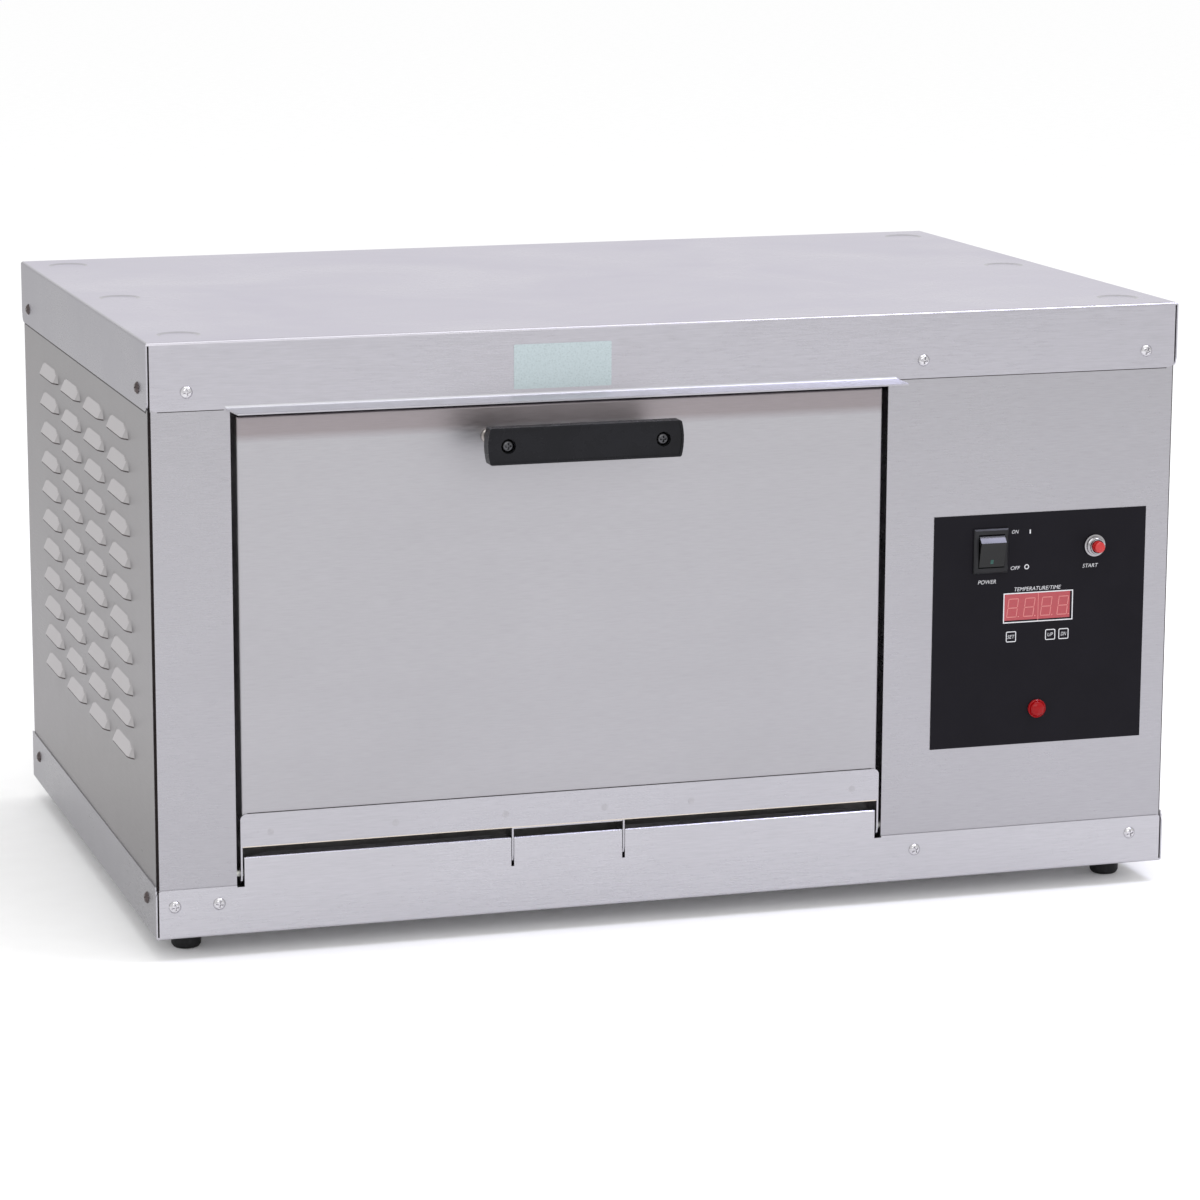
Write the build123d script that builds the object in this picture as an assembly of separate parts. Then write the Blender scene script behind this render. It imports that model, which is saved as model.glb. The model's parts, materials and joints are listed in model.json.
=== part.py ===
from build123d import *
import math
import os

# A countertop pizza oven: a folded stainless body with a drop-down door on the left
# and a control compartment on the right. X runs to the right, Y to the back, Z up.
# The origin is the centre of the whole oven's footprint, on the counter. Millimetres.
# Cuts run a millimetre or two past the faces that they open.

# Flats of the small round pieces and their holes, few so that the model stays light
fine_flats = 24
plain_flats = 12
small_flats = 8
tube_flats = 6

# Fits
close_fit = 0.05
easy_fit = 0.3
seat_fit = 0.1
wide_fit = 1.0

# Body shell
skin = 1.0
body_width = 717.0
body_depth = 470.0
body_height = 394.0
bend_radius = 2.0
seam_gap = 1.1
return_flange = 12.0

# Lid
lid_flange = 44.6
lid_corner_radius = 7.0
lip_reach = 7.0
lip_drop = 3.3
lip_left_overhang = 3.6
lip_right_overhang = 11.6
lip_left_taper = 7.0
lip_right_taper = 6.6
dimple_radius = 14.4
dimple_depth = 0.7
dimple_slope = 2.5
dimple_inset_x = 29.0
dimple_inset_y = 36.0

# Base pan
base_front_flange = 33.3
base_side_flange = 35.8
base_corner_radius = 5.0
apron_height = 52.0
apron_return = 11.0
apron_return_taper = 18.0
slot_bottom = 32.2
end_slot_width = 5.0
mid_slot_width = 2.0
bracket_notch_margin = 1.5

# Feet
foot_height = 15.2
foot_top_radius = 10.6
foot_bottom_radius = 10.0
foot_inset_x = 27.0
foot_inset_y = 36.0
foot_screw_radius = 2.5
foot_screw_head_radius = 5.0
foot_screw_head = 2.5
foot_screw_tail = 5.0
foot_screw_recess = 6.0

# Front panel and door
stile_width = 54.5
door_gap = 3.8
control_width = 210.6
door_thickness = 27.0
door_top_gap = 1.6
door_pan_flange = 16.0
door_field_rise = 3.0
door_field_margin = 34.0
door_field_bevel = 1.8
door_seal_gap = 0.5
head_setback = 2.0

# Door hinge
strip_height = 22.5
strip_sheet = 1.2
strip_corner_radius = 4.0
ear_radius = 7.2
ear_drop = 19.0
stop_gap = 0.3
rod_radius = 3.0
bracket_spread = 79.0
bracket_from_door_left = 184.0
bracket_web_depth = 14.0
rod_stand_sheet = 2.0
rod_stand_offset = 4.0
rod_stand_foot = 14.0
rod_stand_clearance = 1.0
rod_cap_radius = 4.7
rod_cap_length = 2.5

# Handle
handle_width = 132.5
handle_height = 24.0
handle_thickness = 10.0
handle_corner_radius = 1.5
handle_end_bow = 1.6
handle_rim = 1.5
handle_rim_height = 0.5
handle_from_door_left = 221.0
handle_drop = 20.2
handle_post_spacing = 105.0
handle_post_radius = 4.0
handle_post_length = 31.0
handle_collar_radius = 7.5
handle_collar_length = 7.0
handle_screw_radius = 2.5
handle_screw_head_radius = 4.5
handle_screw_head = 2.4
handle_counterbore = 3.4
handle_bolt_head = 3.0
handle_bolt_room = 6.0
door_screw_radius = 3.4
door_screw_crown = 2.2
door_screw_head = 1.6

# Louvres in the side panels
louvre_columns = 4
louvre_rows = 11
louvre_column_pitch = 86.0
louvre_row_pitch = 21.5
louvre_first_y = 102.0
louvre_lowest_z = 107.0
louvre_length = 66.0
louvre_height = 8.5
louvre_reach = 3.8
louvre_end_run = 9.0
louvre_wall = 0.8

# Oven cavity
liner_sheet = 0.8
cavity_side_margin = 20.0
cavity_sill = 18.0
cavity_head = 13.7
cavity_back_room = 41.5
frame_overlap = 9.0
blanket = 20.0
stand_sheet = 1.5
stand_flange = 14.0
stand_inset_x = 80.0
stand_inset_y = 45.0

# Racks
rack_rail_width = 12.0
rack_rail_height = 10.0
rack_rail_sheet = 1.2
rack_frame_radius = 2.75
rack_wire_radius = 1.5
rack_wires = 12
rack_corner_radius = 14.0
rack_side_gap = 3.0
rack_front_gap = 8.0
rack_back_gap = 12.0
lower_rack_height = 62.0
rack_spacing = 98.0

# Heating elements
element_radius = 4.0
element_hairpins = 2
element_run_pitch = 68.0
element_from_wall = 30.0
element_offset = 24.0
element_outside = 40.0
element_turn_steps = 4
element_pin_radius = 1.6
element_pin_length = 12.0
bushing_radius = 8.0
bushing_length = 6.0
hanger_sheet = 1.5
hanger_foot = 12.0
hanger_margin = 9.0
hanger_inset = 60.0

# Temperature probe in the cavity
probe_radius = 3.0
probe_reach = 45.0
probe_head_radius = 6.0
probe_head_length = 45.0

# Control compartment
partition_gap = 14.0
overlay_width = 156.3
overlay_height = 162.0
overlay_sheet = 0.5
overlay_from_right = 19.3
overlay_bottom = 91.5

# Power rocker switch, placed from the overlay's top left corner
rocker_from_left = 41.2
rocker_from_top = 25.1
bezel_width = 25.0
bezel_height = 30.8
bezel_proud = 2.6
bezel_bevel = 1.0
bezel_body_wall = 0.8
bezel_body_depth = 19.0
rocker_width = 18.4
rocker_radius = 13.2
rocker_slope = 13.0
rocker_face = 9.7
rocker_back = 4.0
rocker_pivot_depth = 4.5
rocker_pin_radius = 1.4
rocker_pin_length = 0.9
rocker_gap = 0.4

# Start button
button_from_left = 118.0
button_from_top = 25.2
button_cap_radius = 4.4
button_proud = 11.0
button_travel = 2.0
button_stem_radius = 2.2
button_bevel = 0.8
button_floor = 3.0
collar_radius = 7.7
collar_base = 2.0
collar_neck_radius = 6.6
collar_tip_radius = 5.3
collar_length = 7.0
button_body_radius = 5.5
button_body_depth = 18.0
button_nut_radius = 8.5
button_nut = 2.4

# Display, keys and pilot lamp
display_from_left = 77.6
display_from_top = 66.0
display_width = 50.4
display_height = 19.8
key_size = 7.6
key_gap = 0.15
key_travel = 0.4
key_row_from_top = 86.1
set_key_from_left = 58.0
up_key_from_left = 87.1
down_key_from_left = 97.0
key_stem_radius = 1.3
lamp_from_left = 78.2
lamp_from_top = 137.6
lamp_lens_radius = 6.4
lamp_lens_height = 4.0
lamp_tip_radius = 4.6
lamp_rim = 1.6
lamp_body_radius = 4.8
lamp_body_depth = 20.0
lamp_nut_radius = 7.5
lamp_nut = 1.5

# Controller board and parts behind the panel
board_width = 104.0
board_height = 62.0
board_sheet = 1.6
board_gap = 14.0
tact_size = 6.0
tact_height = 3.5
standoff_radius = 3.0
standoff_inset = 5.0
contactor_width = 46.0
contactor_depth = 60.0
contactor_body_height = 36.0
contactor_head_height = 16.0
contactor_head_inset = 3.0
contactor_head_margin = 12.0
contactor_from_back = 150.0
contactor_rail_height = 8.0
contactor_rail_length = 70.0
contactor_rail_width = 35.0
contactor_rail_neck = 25.0
terminal_width = 64.0
terminal_depth = 22.0
terminal_height = 18.0
terminal_ways = 4
terminal_wall = 2.5
terminal_step_depth = 9.0
terminal_step_width = 9.5
terminal_from_back = 60.0
limit_switch_radius = 9.0
limit_switch_height = 10.0
limit_switch_from_front = 180.0
limit_plate_sheet = 1.2
limit_plate_width = 29.0
limit_plate_height = 8.0
limit_blade_sheet = 0.8
limit_blade_width = 6.0
limit_blade_length = 8.0
limit_blade_offset = 4.0

# Cord gland in the back panel
gland_radius = 11.0
gland_bore_radius = 4.5
gland_neck_radius = 8.0
gland_flange = 3.0
gland_reach = 16.0
gland_nut_radius = 12.0
gland_nut = 4.0
gland_from_right = 60.0
gland_height = 50.0

# Sheet screws round the body
screw_head_radius = 4.1
screw_head_height = 2.0
screw_crown_radius = 2.6
lid_screw_drop = 32.5
base_screw_rise = 22.0
screw_inset = 26.0
side_screw_inset = 29.0
base_corner_screw = 12.6
base_stile_screw = 42.3
base_right_screw = 25.0
lid_right_screw = 23.0
control_screw_offset = 24.6

# Places that follow from the sizes above
front_reach = handle_post_length + handle_collar_length + handle_thickness - skin
back_reach = gland_reach
front = (front_reach - body_depth - back_reach) / 2
back = front + body_depth
left = -body_width / 2
right = body_width / 2
base_z = foot_height
top_z = base_z + body_height
floor_z = base_z + skin
lid_bottom_z = top_z - lid_flange
panel_low_z = base_z + skin + bend_radius
panel_high_z = top_z - skin - bend_radius
panel_y = front + skin
panel_back_y = front + 2 * skin
rear_panel_y = back - 2 * skin

stile_right = left + stile_width
control_left = right - control_width
door_left = stile_right + door_gap
door_right = control_left - door_gap
head_z = lid_bottom_z + head_setback
door_face_y = panel_y
door_back_y = door_face_y + door_thickness
strip_face_y = door_face_y - strip_sheet
slot_z = base_z + slot_bottom
pivot_y = strip_face_y + ear_radius
pivot_z = slot_z + stop_gap + ear_radius
door_bottom_z = pivot_z + ear_drop
door_top_z = lid_bottom_z - lip_drop - door_top_gap
handle_z = door_top_z - handle_drop
apron_z = base_z + apron_height
bracket_left = door_left + bracket_from_door_left
bracket_right = bracket_left + bracket_spread
rod_left = stile_right - skin - rod_cap_length
rod_right = control_left + skin + rod_cap_length

frame_y = door_back_y + door_seal_gap
cavity_left = door_left + cavity_side_margin
cavity_right = door_right - cavity_side_margin
cavity_bottom = door_bottom_z + cavity_sill
cavity_top = door_top_z - cavity_head
cavity_back = rear_panel_y - cavity_back_room
partition_x = control_left + partition_gap
lower_rack_z = cavity_bottom + lower_rack_height
upper_rack_z = lower_rack_z + rack_spacing
element_mid_y = (frame_y + cavity_back) / 2
element_span = (2 * element_hairpins - 1) * element_run_pitch
element_first_y = element_mid_y - element_span / 2
element_run_ys = [element_first_y + run * element_run_pitch for run in range(2 * element_hairpins)]
element_leg_ys = [element_run_ys[0], element_run_ys[-1]]
lower_element_z = cavity_bottom + element_offset
upper_element_z = cavity_top - element_offset
probe_y = (element_run_ys[-2] + element_run_ys[-1]) / 2
probe_z = upper_element_z

overlay_right = right - overlay_from_right
overlay_left = overlay_right - overlay_width
overlay_low_z = base_z + overlay_bottom
overlay_high_z = overlay_low_z + overlay_height
overlay_y = panel_y - overlay_sheet
rocker_x = overlay_left + rocker_from_left
rocker_z = overlay_high_z - rocker_from_top
button_x = overlay_left + button_from_left
button_z = overlay_high_z - button_from_top
display_x = overlay_left + display_from_left
display_z = overlay_high_z - display_from_top
key_z = overlay_high_z - key_row_from_top
lamp_x = overlay_left + lamp_from_left
lamp_z = overlay_high_z - lamp_from_top
board_y = panel_back_y + board_gap
board_x = display_x
board_z = (display_z + key_z) / 2

key_places = {
    "key_set": overlay_left + set_key_from_left,
    "key_up": overlay_left + up_key_from_left,
    "key_down": overlay_left + down_key_from_left,
}


def block(x0, x1, y0, y1, z0, z1):
    """A box between two corners, in any order."""
    centre = Pos((x0 + x1) / 2, (y0 + y1) / 2, (z0 + z1) / 2)
    return centre * Box(abs(x1 - x0), abs(y1 - y0), abs(z1 - z0))


def drum(start, direction, radius, length):
    """A round bar from a point along a direction."""
    plane = Plane(origin=start, z_dir=direction)
    return plane * Cylinder(radius, length, align=(Align.CENTER, Align.CENTER, Align.MIN))


def many_sided(start, direction, radius, length, flats, outside=False):
    """A bar of flats. It stays within its radius, or round it where it cuts a hole."""
    plane = Plane(origin=start, z_dir=direction)
    return plane * extrude(RegularPolygon(radius, flats, major_radius=not outside), amount=length)


def hole(start, direction, radius, length, flats):
    """What is cut for a hole with flats, never tighter than its radius."""
    return many_sided(start, direction, radius, length, flats, outside=True)


def cup(start, direction, low_radius, high_radius, length, flats):
    """A tapered piece with flats from a point along a direction."""
    plane = Plane(origin=start, z_dir=direction)
    narrowing = (low_radius - high_radius) * math.cos(math.pi / flats)
    slope = math.degrees(math.atan(narrowing / length))
    return plane * extrude(RegularPolygon(low_radius, flats), amount=length, taper=slope)


def corner_waste_y(x, z, toward_x, toward_z, radius, y0, y1):
    """What is cut from a square corner of a sheet facing Y to leave it round."""
    centre_x = x + toward_x * radius
    centre_z = z + toward_z * radius
    low_y, high_y = min(y0, y1), max(y0, y1)
    square = block(x, centre_x, low_y, high_y, z, centre_z)
    return square - drum((centre_x, low_y - 1, centre_z), (0, 1, 0), radius, high_y - low_y + 2)


def corner_waste_x(y, z, toward_y, toward_z, radius, x0, x1):
    """What is cut from a square corner of a sheet facing X to leave it round."""
    centre_y = y + toward_y * radius
    centre_z = z + toward_z * radius
    low_x, high_x = min(x0, x1), max(x0, x1)
    square = block(low_x, high_x, y, centre_y, z, centre_z)
    return square - drum((low_x - 1, centre_y, centre_z), (1, 0, 0), radius, high_x - low_x + 2)


def tray(z_closed, z_open):
    """The folded pan of the lid or base: outer size of the body, closed at one height."""
    facing = -1 if z_closed > z_open else 1
    end = -1 if z_closed > z_open else 0
    outside = block(left, right, front, back, z_closed, z_open)
    outside = fillet(outside.edges().group_by(Axis.Z)[end], bend_radius)
    inside = block(
        left + skin, right - skin, front + skin, back - skin, z_closed + facing * skin, z_open + facing
    )
    return outside - inside


def corner_seams(z0, z1):
    """The open seams where the front and back flanges meet the side flanges."""
    seams = Part()
    for x in (left + skin, right - skin - seam_gap):
        seams += block(x, x + seam_gap, front - 1, front + skin, z0, z1)
        seams += block(x, x + seam_gap, back - skin, back + 1, z0, z1)
    return seams


def lid_lip():
    """The hood folded out along the front flange's lower edge, over the door."""
    tip_y = front - lip_reach
    tip_z = lid_bottom_z - lip_drop
    x0 = stile_right - lip_left_overhang
    x1 = control_left + lip_right_overhang
    section = Polyline(
        (x0, front + skin, lid_bottom_z),
        (x0, front + skin, lid_bottom_z + skin),
        (x0, front, lid_bottom_z + skin),
        (x0, tip_y, tip_z + skin),
        (x0, tip_y, tip_z),
        close=True,
    )
    blade = extrude(make_face(section), amount=x1 - x0, dir=(1, 0, 0))
    plan = Polyline(
        (x0, front + skin),
        (x0 + lip_left_taper, tip_y),
        (x1, tip_y),
        (x1 - lip_right_taper, front),
        (x1 - lip_right_taper, front + skin),
        close=True,
    )
    trim = Pos(0, 0, tip_z - 1) * extrude(make_face(plan), amount=lip_drop + 2 * skin + 1, dir=(0, 0, 1))
    return blade & trim


def dimple_places():
    """Six shallow dishes in the lid where the feet of a second oven stand."""
    middle = (front + back) / 2
    for x in (left + dimple_inset_x, right - dimple_inset_x):
        for y in (front + dimple_inset_y, middle, back - dimple_inset_y):
            yield x, y


def top_cover():
    lid = tray(top_z, lid_bottom_z)
    lid -= corner_seams(lid_bottom_z - 1, top_z - bend_radius)
    for x, toward in ((left, 1), (right, -1)):
        for y, inward in ((front, 1), (back, -1)):
            lid -= corner_waste_y(x, lid_bottom_z, toward, 1, lid_corner_radius, y, y + inward * skin)
            lid -= corner_waste_x(y, lid_bottom_z, inward, 1, lid_corner_radius, x, x + toward * skin)
    lid += lid_lip()
    for x, y in dimple_places():
        low = (x, y, top_z - skin - dimple_depth)
        lid += many_sided(low, (0, 0, 1), dimple_radius + skin, dimple_depth + skin / 2, plain_flats)
        low = (x, y, top_z - dimple_depth)
        lid -= cup(low, (0, 0, 1), dimple_radius - dimple_slope, dimple_radius + dimple_slope,
                   2 * dimple_depth, fine_flats)
    return lid


def hinge_slots():
    """The four slots that the hinge ears pass through, and the notch for the bracket."""
    tall = apron_height
    slots = Part()
    for x0, width in (
        (stile_right, end_slot_width),
        (control_left - end_slot_width, end_slot_width),
        (bracket_left + strip_sheet / 2 - mid_slot_width / 2, mid_slot_width),
        (bracket_right - strip_sheet / 2 - mid_slot_width / 2, mid_slot_width),
    ):
        slots += block(x0, x0 + width, front - 1, front + skin + apron_return, slot_z, slot_z + tall)
    slots += block(
        bracket_left - bracket_notch_margin,
        bracket_right + bracket_notch_margin,
        front + bend_radius,
        front + skin + apron_return,
        slot_z,
        slot_z + tall,
    )
    return slots


def base_pan():
    pan = tray(base_z, base_z + base_side_flange)
    pan -= block(left - 1, right + 1, front - 1, front + bend_radius, base_z + base_front_flange, top_z)
    pan -= corner_seams(base_z + bend_radius, top_z)
    for x, toward in ((left, 1), (right, -1)):
        top = base_z + base_front_flange
        pan -= corner_waste_y(x, top, toward, -1, base_corner_radius, front - 1, front + skin)
    # The apron stands up between the door's end slots, with its top folded inwards.
    apron_left = stile_right + end_slot_width
    apron_right = control_left - end_slot_width
    wall = block(apron_left, apron_right, front, front + skin, base_z + bend_radius, apron_z)
    fold = Polyline(
        (apron_left, front + skin),
        (apron_left + apron_return_taper, front + apron_return),
        (apron_right - apron_return_taper, front + apron_return),
        (apron_right, front + skin),
        close=True,
    )
    shelf = Pos(0, 0, apron_z - skin) * extrude(make_face(fold), amount=skin, dir=(0, 0, 1))
    apron = wall + shelf
    apron = fillet(apron.edges().filter_by(Axis.X).group_by(Axis.Z)[-1].sort_by(Axis.Y)[0], bend_radius / 2)
    pan += apron
    pan -= hinge_slots()
    for x, y in foot_places():
        pan -= hole((x, y, base_z - 1), (0, 0, 1), foot_screw_radius + easy_fit, skin + 2, tube_flats)
    return pan


def foot_places():
    for x in (left + foot_inset_x, right - foot_inset_x):
        for y in (front + foot_inset_y, back - foot_inset_y):
            yield x, y


def feet():
    group = []
    for x, y in foot_places():
        foot = cup((x, y, 0), (0, 0, 1), foot_bottom_radius, foot_top_radius, foot_height, plain_flats)
        start = (x, y, -1)
        foot -= hole(start, (0, 0, 1), foot_screw_head_radius + easy_fit, foot_screw_recess + 1, tube_flats)
        foot -= hole(start, (0, 0, 1), foot_screw_radius + close_fit, foot_height + 2, tube_flats)
        group.append(foot)
    return Compound(children=group)


def foot_screws():
    """One screw up through each foot, its head deep in the foot's recess."""
    group = []
    head_z = foot_screw_recess - foot_screw_head
    length = floor_z + foot_screw_tail - foot_screw_recess
    for x, y in foot_places():
        screw = many_sided((x, y, head_z), (0, 0, 1), foot_screw_head_radius, foot_screw_head, tube_flats)
        screw += many_sided((x, y, foot_screw_recess), (0, 0, 1), foot_screw_radius, length, tube_flats)
        group.append(screw)
    return Compound(children=group)


def louvre_plan(inset, inside):
    """The plan of one louvre's lip: a straight middle, both ends bent back to the sheet."""
    deep = louvre_reach - inset
    flat = louvre_length / 2 - louvre_end_run
    spread = louvre_end_run / louvre_reach
    wide = flat + (deep + inside) * spread
    rim = Polyline((inside, wide), (inside, -wide), (-deep, -flat), (-deep, flat), close=True)
    return make_face(rim)


def louvre_prism(inset, inside, below):
    """One louvre's body at the origin, leaning from its open lip up into the sheet."""
    lean = Vector(louvre_reach, 0, louvre_height)
    start = lean * -below
    return Pos(*start) * extrude(louvre_plan(inset, inside), amount=lean.length * (1 + below), dir=lean)


def louvre_places():
    for column in range(louvre_columns):
        for row in range(louvre_rows):
            y = front + louvre_first_y + column * louvre_column_pitch
            z = base_z + louvre_lowest_z + row * louvre_row_pitch
            yield y, z


def left_side_panel():
    """The left panel with its louvres pressed out and open downwards."""
    x0 = left + skin
    x1 = x0 + skin
    y0 = panel_back_y + seam_gap
    y1 = rear_panel_y - seam_gap
    panel = block(x0, x1, y0, y1, panel_low_z, panel_high_z)
    panel += block(x0, x0 + return_flange, y0, y0 + skin, panel_low_z, panel_high_z)
    panel += block(x0, x0 + return_flange, y1 - skin, y1, panel_low_z, panel_high_z)
    hood = louvre_prism(0, skin / 2, 0)
    hood &= block(-louvre_reach, skin / 2, -louvre_length, louvre_length, 0, louvre_height)
    hollow = louvre_prism(louvre_wall, skin + seat_fit, seat_fit)
    hoods = []
    hollows = []
    for y, z in louvre_places():
        hoods.append(Pos(x0, y, z) * hood)
        hollows.append(Pos(x0, y, z) * hollow)
    return panel + hoods - hollows


def right_side_panel():
    return mirror(left_side_panel(), about=Plane.YZ)


def front_panel():
    """The sheet with the door's cut-out, its edges folded back to the cavity's frame."""
    sheet = block(left + bend_radius, right - bend_radius, panel_y, panel_back_y, panel_low_z, panel_high_z)
    sheet -= block(stile_right, control_left, panel_y - 1, panel_back_y + 1, panel_low_z - 1, head_z)
    sheet += block(stile_right - skin, stile_right, panel_y, frame_y, panel_low_z, head_z)
    sheet += block(control_left, control_left + skin, panel_y, frame_y, panel_low_z, head_z)
    sheet += block(stile_right - skin, control_left + skin, panel_y, frame_y, head_z, head_z + skin)
    for x in (stile_right - skin - 1, control_left - 1):
        sheet -= hole((x, pivot_y, pivot_z), (1, 0, 0), rod_radius + close_fit, skin + 2, small_flats)
    sheet -= bezel_opening(panel_y - 1, panel_back_y + 1)
    sheet -= button_opening(panel_y - 1, skin + 2)
    sheet -= lamp_opening(panel_y - 1, skin + 2)
    sheet -= display_opening(panel_y - 1, panel_back_y + 1)
    for x in key_places.values():
        sheet -= key_block(x, panel_y - 1, panel_back_y + 1, key_gap)
    return sheet


def back_panel():
    sheet = block(left + bend_radius, right - bend_radius, rear_panel_y, back - skin, panel_low_z, panel_high_z)
    centre = (right - gland_from_right, rear_panel_y - 1, base_z + gland_height)
    sheet -= hole(centre, (0, 1, 0), gland_neck_radius + easy_fit, skin + 2, plain_flats)
    return sheet


def cord_gland():
    """The gland that the supply cord enters by, with its lock nut inside the panel."""
    x = right - gland_from_right
    z = base_z + gland_height
    outer_y = back - skin
    inner = skin + gland_nut + gland_flange
    length = inner + gland_reach + skin
    gland = many_sided((x, outer_y, z), (0, 1, 0), gland_radius, gland_flange, plain_flats)
    gland += many_sided((x, outer_y - inner, z), (0, 1, 0), gland_neck_radius, length, plain_flats)
    gland -= hole((x, outer_y - inner - 1, z), (0, 1, 0), gland_bore_radius, length + 2, small_flats)
    return gland


def gland_lock_nut():
    x = right - gland_from_right
    z = base_z + gland_height
    start = (x, rear_panel_y - gland_nut, z)
    nut = many_sided(start, (0, 1, 0), gland_nut_radius, gland_nut, 6)
    cut = (x, rear_panel_y - gland_nut - 1, z)
    return nut - hole(cut, (0, 1, 0), gland_neck_radius + close_fit, gland_nut + 2, plain_flats)


def handle_places():
    middle = door_left + handle_from_door_left
    for side in (-1, 1):
        yield middle + side * handle_post_spacing / 2


def door_skin():
    """The door's outer tray, its four edges folded back."""
    outer = block(door_left, door_right, door_face_y, door_back_y - skin, door_bottom_z, door_top_z)
    outer = fillet(outer.edges().group_by(Axis.Y)[0], bend_radius)
    inner = block(door_left + skin, door_right - skin, door_face_y + skin, door_back_y, door_bottom_z + skin,
                  door_top_z - skin)
    tray_part = outer - inner
    for x in handle_places():
        start = (x, door_face_y - 1, handle_z)
        tray_part -= hole(start, (0, 1, 0), handle_screw_radius + easy_fit, skin + 2, small_flats)
    return tray_part


def door_inner_pan():
    """The pan that closes the door's back, with a raised field that stands in the mouth."""
    x0 = door_left + skin
    x1 = door_right - skin
    z0 = door_bottom_z + skin
    z1 = door_top_z - skin
    outer = block(x0, x1, door_back_y - door_pan_flange, door_back_y, z0, z1)
    outer = fillet(outer.edges().group_by(Axis.Y)[-1], bend_radius)
    field_x = (door_left + door_field_margin, door_right - door_field_margin)
    field_z = (door_bottom_z + door_field_margin, door_top_z - door_field_margin)
    field_y = door_back_y + door_field_rise
    field = block(*field_x, door_back_y - skin, field_y, *field_z)
    field = chamfer(field.edges().group_by(Axis.Y)[-1], door_field_bevel)
    inner = block(
        x0 + skin, x1 - skin, door_back_y - door_pan_flange - 1, door_back_y - skin, z0 + skin, z1 - skin
    )
    hollow = block(
        field_x[0] + skin, field_x[1] - skin, door_back_y - skin - 1, field_y - skin, field_z[0] + skin,
        field_z[1] - skin
    )
    hollow = chamfer(hollow.edges().group_by(Axis.Y)[-1], door_field_bevel)
    return outer + field - inner - hollow


def door_insulation():
    """The blanket that fills the door between its two trays."""
    edge = 2 * skin + bend_radius
    pad = block(
        door_left + edge, door_right - edge, door_face_y + skin, door_back_y - skin, door_bottom_z + edge,
        door_top_z - edge
    )
    for x in handle_places():
        start = (x, door_face_y, handle_z)
        pad -= hole(start, (0, 1, 0), handle_screw_head_radius + wide_fit, handle_bolt_room, small_flats)
    return pad


def hinge_ear(x0, x1):
    """One ear of the hinge, straight down from the door and round about the rod."""
    x = min(x0, x1)
    wide = abs(x1 - x0)
    ear = block(x0, x1, strip_face_y, strip_face_y + 2 * ear_radius, pivot_z, door_bottom_z)
    ear += many_sided((x, pivot_y, pivot_z), (1, 0, 0), ear_radius, wide, plain_flats)
    return ear - hole((x - 1, pivot_y, pivot_z), (1, 0, 0), rod_radius + close_fit, wide + 2, fine_flats)


def hinge_strip():
    """The strip along the door's foot, its ends folded back into ears."""
    x0 = door_left - strip_sheet
    x1 = door_right + strip_sheet
    strip = block(x0, x1, strip_face_y, door_face_y, door_bottom_z, door_bottom_z + strip_height)
    for x, toward in ((x0, 1), (x1, -1)):
        top = door_bottom_z + strip_height
        strip -= corner_waste_y(x, top, toward, -1, strip_corner_radius, strip_face_y, door_face_y)
    for x, inner in ((x0, door_left), (x1, door_right)):
        side = block(x, inner, strip_face_y, strip_face_y + 2 * ear_radius, door_bottom_z,
                     door_bottom_z + strip_height - strip_corner_radius)
        strip += side
        strip += hinge_ear(x, inner)
    return strip


def centre_hinge_bracket():
    """An inverted channel under the door, its two ears on the same rod."""
    web = block(bracket_left, bracket_right, door_face_y, door_face_y + bracket_web_depth,
                door_bottom_z - strip_sheet, door_bottom_z)
    bracket = web
    for x0, x1 in ((bracket_left, bracket_left + strip_sheet), (bracket_right - strip_sheet, bracket_right)):
        bracket += hinge_ear(x0, x1) & block(x0, x1, front - 5, back, 0, door_bottom_z)
    return bracket


def hinge_rod():
    """The rod through all four ears, its ends through the front sheet's returns."""
    return drum((rod_left, pivot_y, pivot_z), (1, 0, 0), rod_radius, rod_right - rod_left)


def rod_end_caps():
    """Push-on caps that keep the rod in, seated on the outer faces of the returns."""
    group = []
    for x, toward in ((rod_left, -1), (rod_right, 1)):
        base_x = x - toward * rod_cap_length
        cap = many_sided((base_x, pivot_y, pivot_z), (toward, 0, 0), rod_cap_radius, rod_cap_length + skin,
                         plain_flats)
        cap -= hole((base_x - toward, pivot_y, pivot_z), (toward, 0, 0), rod_radius + close_fit,
                    rod_cap_length + 1, plain_flats)
        group.append(cap)
    return Compound(children=group)


def rod_stands():
    """Four folded stands on the base, with open saddles that carry the rod beside each ear."""
    group = []
    places = (
        (door_left + rod_stand_offset, 1),
        (bracket_left - rod_stand_offset, -1),
        (bracket_right + rod_stand_offset, 1),
        (door_right - rod_stand_offset, -1),
    )
    y0 = front + skin + rod_stand_clearance
    y1 = pivot_y + ear_radius
    saddle = rod_radius + close_fit
    for x, toward in places:
        stand = block(x, x + toward * rod_stand_sheet, y0, y1, floor_z, pivot_z + rod_radius)
        stand += block(x, x + toward * rod_stand_foot, y0, y1, floor_z, floor_z + rod_stand_sheet)
        stand -= block(x - rod_stand_foot, x + rod_stand_foot, pivot_y - saddle, pivot_y + saddle,
                       pivot_z - rod_radius, top_z)
        group.append(stand)
    return Compound(children=group)


def handle_outline(inset):
    """The bar's face: straight long edges and slightly bowed ends."""
    middle = door_left + handle_from_door_left
    half = handle_width / 2 - inset
    tall = handle_height / 2 - inset
    shoulder = half - handle_end_bow
    outline = Polyline((-shoulder, -tall), (shoulder, -tall))
    outline += ThreePointArc((shoulder, -tall), (half, 0), (shoulder, tall))
    outline += Polyline((shoulder, tall), (-shoulder, tall))
    outline += ThreePointArc((-shoulder, tall), (-half, 0), (-shoulder, -tall))
    return Plane(origin=(middle, 0, handle_z), x_dir=(1, 0, 0), z_dir=(0, -1, 0)) * make_face(outline)


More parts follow.
